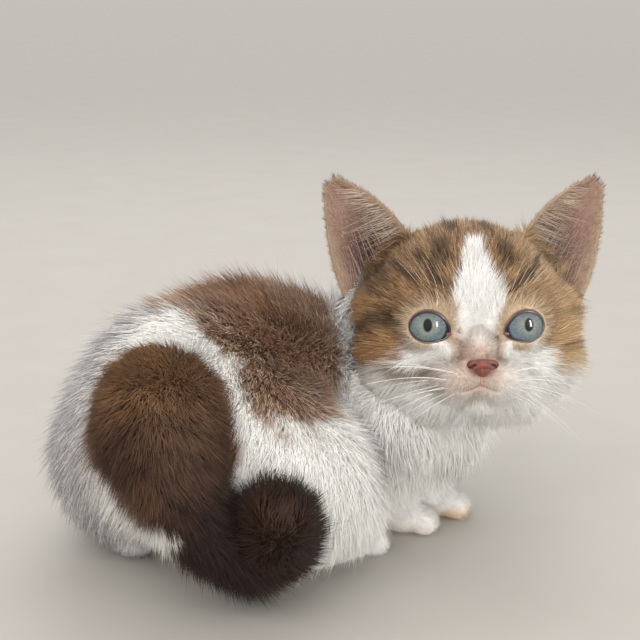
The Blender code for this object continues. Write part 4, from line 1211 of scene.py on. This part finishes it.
def polarGrid(rings, segments):  # a ball's triangles from pole to pole
    j = np.arange(segments)
    after = (j + 1) % segments
    last = 1 + (rings - 1) * segments
    return np.concatenate([
        np.stack([0 * j, 1 + j, 1 + after], axis=1),
        halved(tubeSides(rings, segments, 1), (0, 3, 2, 0, 2, 1)),
        np.stack([last + after, last + j, 0 * j + last + segments], axis=1)])


def buildEye(side):
    rings, segments = eyeGrid["rings"], eyeGrid["segments"]
    rows, centre = eyeFrame(side)
    # from pole to pole, with small first and last rings
    theta = np.concatenate([[0.0], np.repeat(np.linspace(0.012, math.pi - 0.02, rings), segments), [math.pi]])
    phi = np.concatenate([[0.0], np.tile(np.arange(segments) * 2 * math.pi / segments, rings), [0.0]])
    r = eyes["radius"] + eyeGrid["bulge"] * np.exp(-(theta * eyes["radius"] / eyeGrid["bulgeWidth"]) ** 4)
    v = fromGaze(theta, phi) * r[:, None]
    mesh = newMesh("eye", onHead(centre + v @ rows), polarGrid(rings, segments))
    layer = mesh.attributes.new("gaze", "FLOAT_VECTOR", "POINT")
    layer.data.foreach_set("vector", v.astype(np.float32).ravel())
    return smoothObject("eyeball_" + sideNames[side], mesh, eyeMaterial)


def lidRing(side):
    steps, around = lids["steps"], lids["around"]
    rows, centre = eyeFrame(side)
    phi = np.arange(steps) * 2 * math.pi / steps
    way = fromGaze((rimReach(phi, side) + lids["out"]) / eyes["radius"], phi)
    path = way * (eyes["radius"] + lids["above"])
    ahead = unit(np.roll(path, -1, axis=0) - np.roll(path, 1, axis=0))
    sideways = np.cross(ahead, way)  # turned to point away from the opening
    opening = np.stack([np.cos(phi), np.sin(phi), 0 * phi], axis=1)
    sideways *= np.sign(np.sum(sideways * opening, axis=1))[:, None]
    upper = 0.5 + 0.5 * np.sin(phi)
    wide, high = (least + more * upper for least, more in (lids["width"], lids["height"]))
    points = tubePoints(path, sideways, way, wide, high, around)
    faces = tubeSides(steps + 1, around) % (steps * around)
    mesh = newMesh("lids", onHead(centre + points.reshape(-1, 3) @ rows), faces)
    inside = np.tile(np.cos(np.arange(around) * 2 * math.pi / around), steps)
    above = np.repeat(upper, around)
    bare = mixed(lidTones["low"], lidTones["high"], above)
    colours = mixed(lidTones["edge"], bare, ramp(-0.35, 0.55, inside))
    colours = mixed(colours, lidTones["fur"], ramp(0.6, 1.0, inside) * (1 - 0.6 * above))
    giveColour(mesh, colours)
    return smoothObject("lids_" + sideNames[side], mesh, lidMaterial)


def tearCorner(side):
    rows, centre = eyeFrame(side)
    angle = math.radians(tear["angle"])
    theta = (rimReach(np.array([angle]), side)[0] - tear["inside"]) / eyes["radius"]
    place = fromGaze(theta, angle) * (eyes["radius"] + tear["above"])
    place = place + ballPoints * tear["radii"] @ pointing(0)
    mesh = newMesh("tear", onHead(centre + place @ rows), ballFaces)
    giveColour(mesh, np.tile(tear["tone"], (len(ballPoints), 1)))
    return smoothObject("tear_corner_" + sideNames[side], mesh, lidMaterial)


for side, word in sideNames.items():
    ball = buildEye(side)
    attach(ball, "root")
    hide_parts("eye_" + word)
    for piece in (lidRing(side), tearCorner(side)):
        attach(piece, "root")
print("eyes")


# Nose and mouth

noseLook = {"voxel": 0.16, "rounds": 12, "nostril": 0.9, "groove": 0.3}
noseBalls = [  # place from the nose's tip, and radii
    ((0.0, 0.2, 0.0), (4.0, 1.4, 2.6)), ((0.0, -1.3, -0.2), (2.0, 1.9, 2.1)),
    ((2.4, 0.1, -0.1), (1.9, 1.4, 2.3)), ((-2.4, 0.1, -0.1), (1.9, 1.4, 2.3)),
]
lipLook = {"thick": 0.2, "grooveThick": 0.17, "flat": 1.25, "sunk": 0.02, "around": 8, "steps": 26,
           "grooveSteps": 9, "tone": tone(176, 120, 112)}


def buildNose():
    x, y, z = noseTip
    balls = [(onHead(np.array(noseTip) + place), np.array(radii), headRows) for place, radii in noseBalls]
    obj = fused("nose_leather", balls, noseLook["voxel"], noseLook["rounds"])
    q = toHead(pointsOf(obj.data))
    dx, dy = np.abs(q[:, 0] - x), q[:, 1] - y
    # comma-shaped nostrils, opening outwards, and the groove below
    nostril = np.exp(-(((dx - 2.55) / 0.85) ** 2 + ((dy - 0.1 + 0.25 * (dx - 2.5)) / 0.5) ** 2))
    comma = np.exp(-(((dx - 3.6) / 0.8) ** 2 + ((dy + 0.55) / 0.35) ** 2))
    hole = np.clip(nostril + 0.7 * comma, 0, 1)
    groove = np.exp(-(dx / 0.35) ** 2) * ramp(0.2, -1.0, dy)
    q[:, 2] -= (noseLook["nostril"] * hole + noseLook["groove"] * groove) * (q[:, 2] > z - 1.5)
    setPoints(obj.data, onHead(q))
    colours = mixed(tone(130, 72, 57), tone(106, 56, 45), ramp(-0.3, 1.2, waves(q, 2.4, 71)))
    for shade, share in (  # darker wings and upper edge, painted shade in the groove and in the nostrils
        (tone(70, 36, 34), ramp(2.6, 4.2, dx) * ramp(-1.4, 0.4, dy) * 0.6),
        (tone(104, 62, 54), ramp(0.9, 1.6, dy) * 0.5),
        (tone(104, 56, 52), groove * 0.7),
        (tone(34, 18, 18), ramp(0.35, 0.8, hole)),
    ):
        colours = mixed(colours, shade, share)
    giveColour(obj.data, colours)
    obj.data.shade_smooth()
    obj.data.materials.append(noseMaterial)
    return obj


nose = buildNose()
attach(nose, "root")
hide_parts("nose")

skinTree = BVHTree.FromPolygons(skinPoints.tolist(), cornerOf.tolist())


def ontoFace(x, y, above=0.0):  # the point of the skin seen there from the front, in the head's axes
    start = onHead((x, y, 70.0))
    hit = skinTree.ray_cast(Vector(start), Vector(-headRows[2]))[0]
    return toHead(np.array(hit)) + (0, 0, above)


def buildLips():
    line, around = np.array(mouth), lipLook["around"]
    down = np.interp(np.linspace(0, 1, lipLook["grooveSteps"]), [0, 1], [line[0, 1] - 0.2, line[1, 1]])
    t = np.linspace(0, 1, lipLook["steps"])
    half = np.stack([np.interp(t * 3, range(4), line[1:, i]) for i in (0, 1)], axis=1)
    runs = [np.stack([0 * down, down], axis=1), np.concatenate([half[::-1] * (-1, 1), half[1:]])]
    points, faces, start = [], [], 0
    for run, thick in zip(runs, (lipLook["grooveThick"], lipLook["thick"])):
        path = np.array([ontoFace(x, y, -lipLook["sunk"]) for x, y in run])
        path[:, 2] = np.convolve(np.pad(path[:, 2], 2, mode="edge"), np.ones(5) / 5, mode="valid")
        ahead = unit(np.gradient(path, axis=0))
        sideways = unit(np.cross(ahead, (0.0, 0.0, 1.0)))
        # the lips thin out to their corners
        share = np.linspace(-1, 1, len(path)) * (thick == lipLook["thick"])
        size = thick * np.sqrt(np.clip(1.02 - share ** 4, 0.02, 1))
        ring = tubePoints(path, sideways, np.cross(sideways, ahead), size * lipLook["flat"], size, around)
        points += [ring.reshape(-1, 3), path[:1], path[-1:]]
        last, end = start + (len(path) - 1) * around, start + len(path) * around
        j = np.arange(around)
        after = (j + 1) % around
        caps = [end + 0 * j, start + after, start + j, end + 1 + 0 * j, last + j, last + after]
        faces += [halved(tubeSides(len(path), around, start)), np.stack(caps, axis=1).reshape(-1, 3)]
        start = end + 2
    points = np.concatenate(points)
    mesh = newMesh("lips", onHead(points), np.concatenate(faces))
    giveColour(mesh, np.tile(lipLook["tone"], (len(points), 1)))
    return smoothObject("lips", mesh, lidMaterial)


lips = buildLips()
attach(lips, "root")
print("nose and mouth")


# Whiskers, brow hairs and the long hairs of the ears, along paths by Geometry Nodes

whiskers = {"thickness": 0.1, "sides": 5, "steps": 14, "rows": 4, "columns": 4, "brows": 5,
            "first": (6.6, -12.2), "next": 2.1, "down": -1.75, "tilt": 0.15, "length": (21, 31),
            "size": (0.8, 1.15), "sunk": 0.6}
brows = {"first": (9.0, 9.0), "next": (1.6, 0.5), "length": (8, 15), "size": 0.6, "sunk": 0.5}
earHairs = {"count": 150, "thickness": 0.075, "sides": 3, "steps": 7, "fromRim": 0.72}


def hairTree(material):
    tree = bpy.data.node_groups.new("hairAlongPaths", "GeometryNodeTree")
    sockets = {}
    for name, kind, way in (("Geometry", "Geometry", "INPUT"), ("Thickness", "Float", "INPUT"),
                            ("Sides", "Int", "INPUT"), ("Geometry", "Geometry", "OUTPUT")):
        made = tree.interface.new_socket(name, in_out=way, socket_type="NodeSocket" + kind)
        sockets[name] = made.identifier
    start, end = tree.nodes.new("NodeGroupInput").outputs, tree.nodes.new("NodeGroupOutput")
    curves = addNode(tree, "GeometryNodeMeshToCurve", {"Mesh": start["Geometry"]})
    along = addNode(tree, "GeometryNodeSplineParameter").outputs["Factor"]
    taper = addNode(tree, "ShaderNodeMapRange", {"Value": along, "To Min": 1.0, "To Max": 0.12})
    size = addNode(tree, "GeometryNodeInputNamedAttribute", {"Name": "size"}, data_type="FLOAT")
    sized = {0: taper.outputs["Result"], 1: size.outputs["Attribute"]}
    first = addNode(tree, "ShaderNodeMath", sized, operation="MULTIPLY").outputs[0]
    radius = addNode(tree, "GeometryNodeSetCurveRadius", {"Curve": curves.outputs["Curve"], "Radius": first})
    circle = addNode(tree, "GeometryNodeCurvePrimitiveCircle",
                     {"Radius": start["Thickness"], "Resolution": start["Sides"]})
    sweep = addNode(tree, "GeometryNodeCurveToMesh", {
        "Fill Caps": True, "Curve": radius.outputs["Curve"], "Profile Curve": circle.outputs["Curve"]})
    if "Scale" in sweep.inputs:
        setInputs(tree, sweep, {"Scale": first})
    real = addNode(tree, "GeometryNodeRealizeInstances", {"Geometry": sweep.outputs["Mesh"]})
    paint = addNode(tree, "GeometryNodeSetMaterial",
                    {"Geometry": real.outputs["Geometry"], "Material": material})
    setInputs(tree, end, {"Geometry": paint.outputs["Geometry"]})
    return tree, sockets["Thickness"], sockets["Sides"]


def hairPath(start, way, length, droop, steps):  # a path in the head's axes that bends under its weight
    t = np.linspace(0, 1, steps)[:, None]
    return np.asarray(start) + np.asarray(way) * length * t + np.asarray(droop) * length * t * t


def pathsToHairs(name, paths, how, material):
    points, edges, sizes = [], [], []
    for path, size in paths:
        first = len(sizes)
        points.append(path)
        sizes += [size] * len(path)
        edges += [(first + i, first + i + 1) for i in range(len(path) - 1)]
    mesh = bpy.data.meshes.new(name)
    mesh.from_pydata(((onHead(np.concatenate(points)) + shift) * mm).tolist(), edges, [])
    layer = mesh.attributes.new("size", "FLOAT", "POINT")
    layer.data.foreach_set("value", np.array(sizes, np.float32))
    obj = newObject(name, mesh)
    tree, thicknessSocket, sidesSocket = hairTree(material)
    grow = obj.modifiers.new("Hairs", "NODES")
    grow.node_group = tree
    grow[thicknessSocket] = how["thickness"] * mm
    grow[sidesSocket] = how["sides"]
    outward(applied(obj)).data.shade_smooth()
    return obj


def buildEarHairs():
    draw = np.random.default_rng(91)
    paths = []
    t = np.linspace(0, 1, earHairs["steps"])[:, None]
    for side in sideNames:

        def onEar(u, w):
            return earSurface(side, np.array([u]), np.array([w]))[0][0]

        for _ in range(earHairs["count"]):  # most grow across from the rim, the others up from the root
            if draw.uniform() < earHairs["fromRim"]:
                w0 = draw.uniform(0.04, 0.72)
                u0 = draw.uniform(0.72, 0.96)
                u1 = u0 - draw.uniform(0.9, 1.5)
                w1 = min(w0 + draw.uniform(0.12, 0.3), 0.9)
            else:
                w0 = draw.uniform(-0.02, 0.12)
                u0 = draw.uniform(-0.85, 0.6)
                u1 = u0 + draw.uniform(-0.1, 0.3)
                w1 = w0 + draw.uniform(0.25, 0.5)
            start = onEar(u0, w0) + (0, 0, 0.3)
            end = onEar(np.clip(u1, -0.8, 0.9), w1)
            end = start + (end - start) * draw.uniform(0.55, 1.0) + (0, 0, draw.uniform(0.8, 2.2))
            top = (start + end) / 2 + (0, 0, draw.uniform(1.2, 2.4))
            path = start * (1 - t) ** 2 + top * 2 * t * (1 - t) + end * t * t
            paths.append((path, draw.uniform(0.6, 1.2)))
    return pathsToHairs("ear_hairs", paths, earHairs, earHairMaterial)


def buildWhiskers():
    draw = np.random.default_rng(81)
    paths = []
    steps = whiskers["steps"]
    for side in sideNames:
        for row in range(whiskers["rows"]):
            for column in range(whiskers["columns"]):
                x, y = whiskers["first"]
                root = ontoFace((x + whiskers["next"] * column) * side,
                                y + whiskers["down"] * row + whiskers["tilt"] * column)
                way = unit(np.array([side, 0.26 - 0.22 * row + draw.normal(0, 0.05), -0.12 - 0.1 * column]))
                length = draw.uniform(*whiskers["length"])
                length = length * (0.8 + 0.08 * column) * (1.0 - 0.09 * abs(row - 1.3))
                droop = (0.0, -0.2 + draw.normal(0, 0.05), -0.12)
                path = hairPath(root - way * whiskers["sunk"], way, length, droop, steps)
                paths.append((path, draw.uniform(*whiskers["size"])))
        for i in range(whiskers["brows"]):  # above the eye
            x, y = (first + step * i for first, step in zip(brows["first"], brows["next"]))
            root = ontoFace(side * x, y)
            way = unit(np.array([side * (0.15 + 0.1 * i), 0.75, 0.55]))
            length = draw.uniform(*brows["length"])
            path = hairPath(root - way * brows["sunk"], way, length, (side * 0.12, 0.0, -0.35), steps)
            paths.append((path, brows["size"]))
    return pathsToHairs("whiskers", paths, whiskers, whiskerMaterial)


earHairPiece = buildEarHairs()
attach(earHairPiece, "root")
whiskerPiece = buildWhiskers()
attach(whiskerPiece, "root")
print("whiskers", len(whiskerPiece.data.polygons), "faces")


# Floor, light and camera

floorLook = {"radius": 40.0, "segments": 96, "grain": 30.0,
             "dark": tone(176, 171, 165), "pale": tone(184, 180, 174)}
sky = {"colour": (1.0, 0.985, 0.96, 1.0), "strength": 1.02}
lit = (10.0, 10.0, 45.0)
lamps = {  # angles round and up from the cat, distance and size in metres, power and colour
    "windowGlint": (0.0, 19.0, 0.6, (0.07, 0.26), 3.0, (1.0, 1.0, 1.0)),
    "keySoft": (-60.0, 45.0, 0.9, (0.7, 0.7), 3.1, (1.0, 0.98, 0.95)),
    "fillSoft": (-28.0, 6.0, 1.0, (1.0, 0.6), 4.9, (1.0, 0.99, 0.97)),
    "backSoft": (140.0, 55.0, 0.9, (0.8, 0.5), 2.0, (1.0, 0.99, 0.98)),
}
view = {"place": (260.5, -211.4, 158.4), "heading": 50.0, "down": 15.0, "lens": 70.3, "near": 0.01}


def buildFloor():
    mesh = bpy.data.meshes.new("floor")
    bm = bmesh.new()
    bmesh.ops.create_circle(bm, cap_ends=True, segments=floorLook["segments"], radius=floorLook["radius"])
    bm.to_mesh(mesh)
    bm.free()
    floor = newObject("floor", mesh)
    tones = floorLook["dark"], floorLook["pale"]
    mesh.materials.append(makeMottled("paleFloor", floorLook["grain"], *tones, {"Roughness": 0.6}))


def addLight(name):
    heading, height, distance, size, power, colour = lamps[name]
    way = Vector(pointing(heading, height)[0])
    lamp = bpy.data.lights.new(name, "AREA")
    lamp.shape = "RECTANGLE"
    lamp.size, lamp.size_y = size
    lamp.energy = power
    lamp.color = colour
    obj = newObject(name, lamp)
    obj.location = Vector((np.array(lit) + shift) * mm) + way * distance
    obj.rotation_euler = way.to_track_quat("Z", "Y").to_euler()
    return obj


def setStage():
    buildFloor()
    world = bpy.data.worlds.new("softStudio")
    world.use_nodes = True
    back = world.node_tree.nodes["Background"]
    setInputs(world.node_tree, back, {"Color": sky["colour"], "Strength": sky["strength"]})
    bpy.context.scene.world = world
    window, key, fill, _ = (addLight(name) for name in lamps)
    window.visible_diffuse = False  # it only puts the tall glints in the eyes
    key.visible_glossy = fill.visible_glossy = False  # no panels reflected in the eyes


def setCamera():
    lens = bpy.data.cameras.new("photoView")
    lens.lens = view["lens"]
    lens.sensor_width = 36.0
    lens.clip_start = view["near"]
    camera = newObject("photoView", lens)
    camera.location = (np.array(view["place"]) + shift) * mm
    way = Vector(pointing(view["heading"] + 90.0, -view["down"])[0])
    camera.rotation_euler = way.to_track_quat("-Z", "Y").to_euler()
    bpy.context.scene.camera = camera
    bpy.context.scene.view_settings.view_transform = "Standard"


setStage()
setCamera()
print("stage and camera")
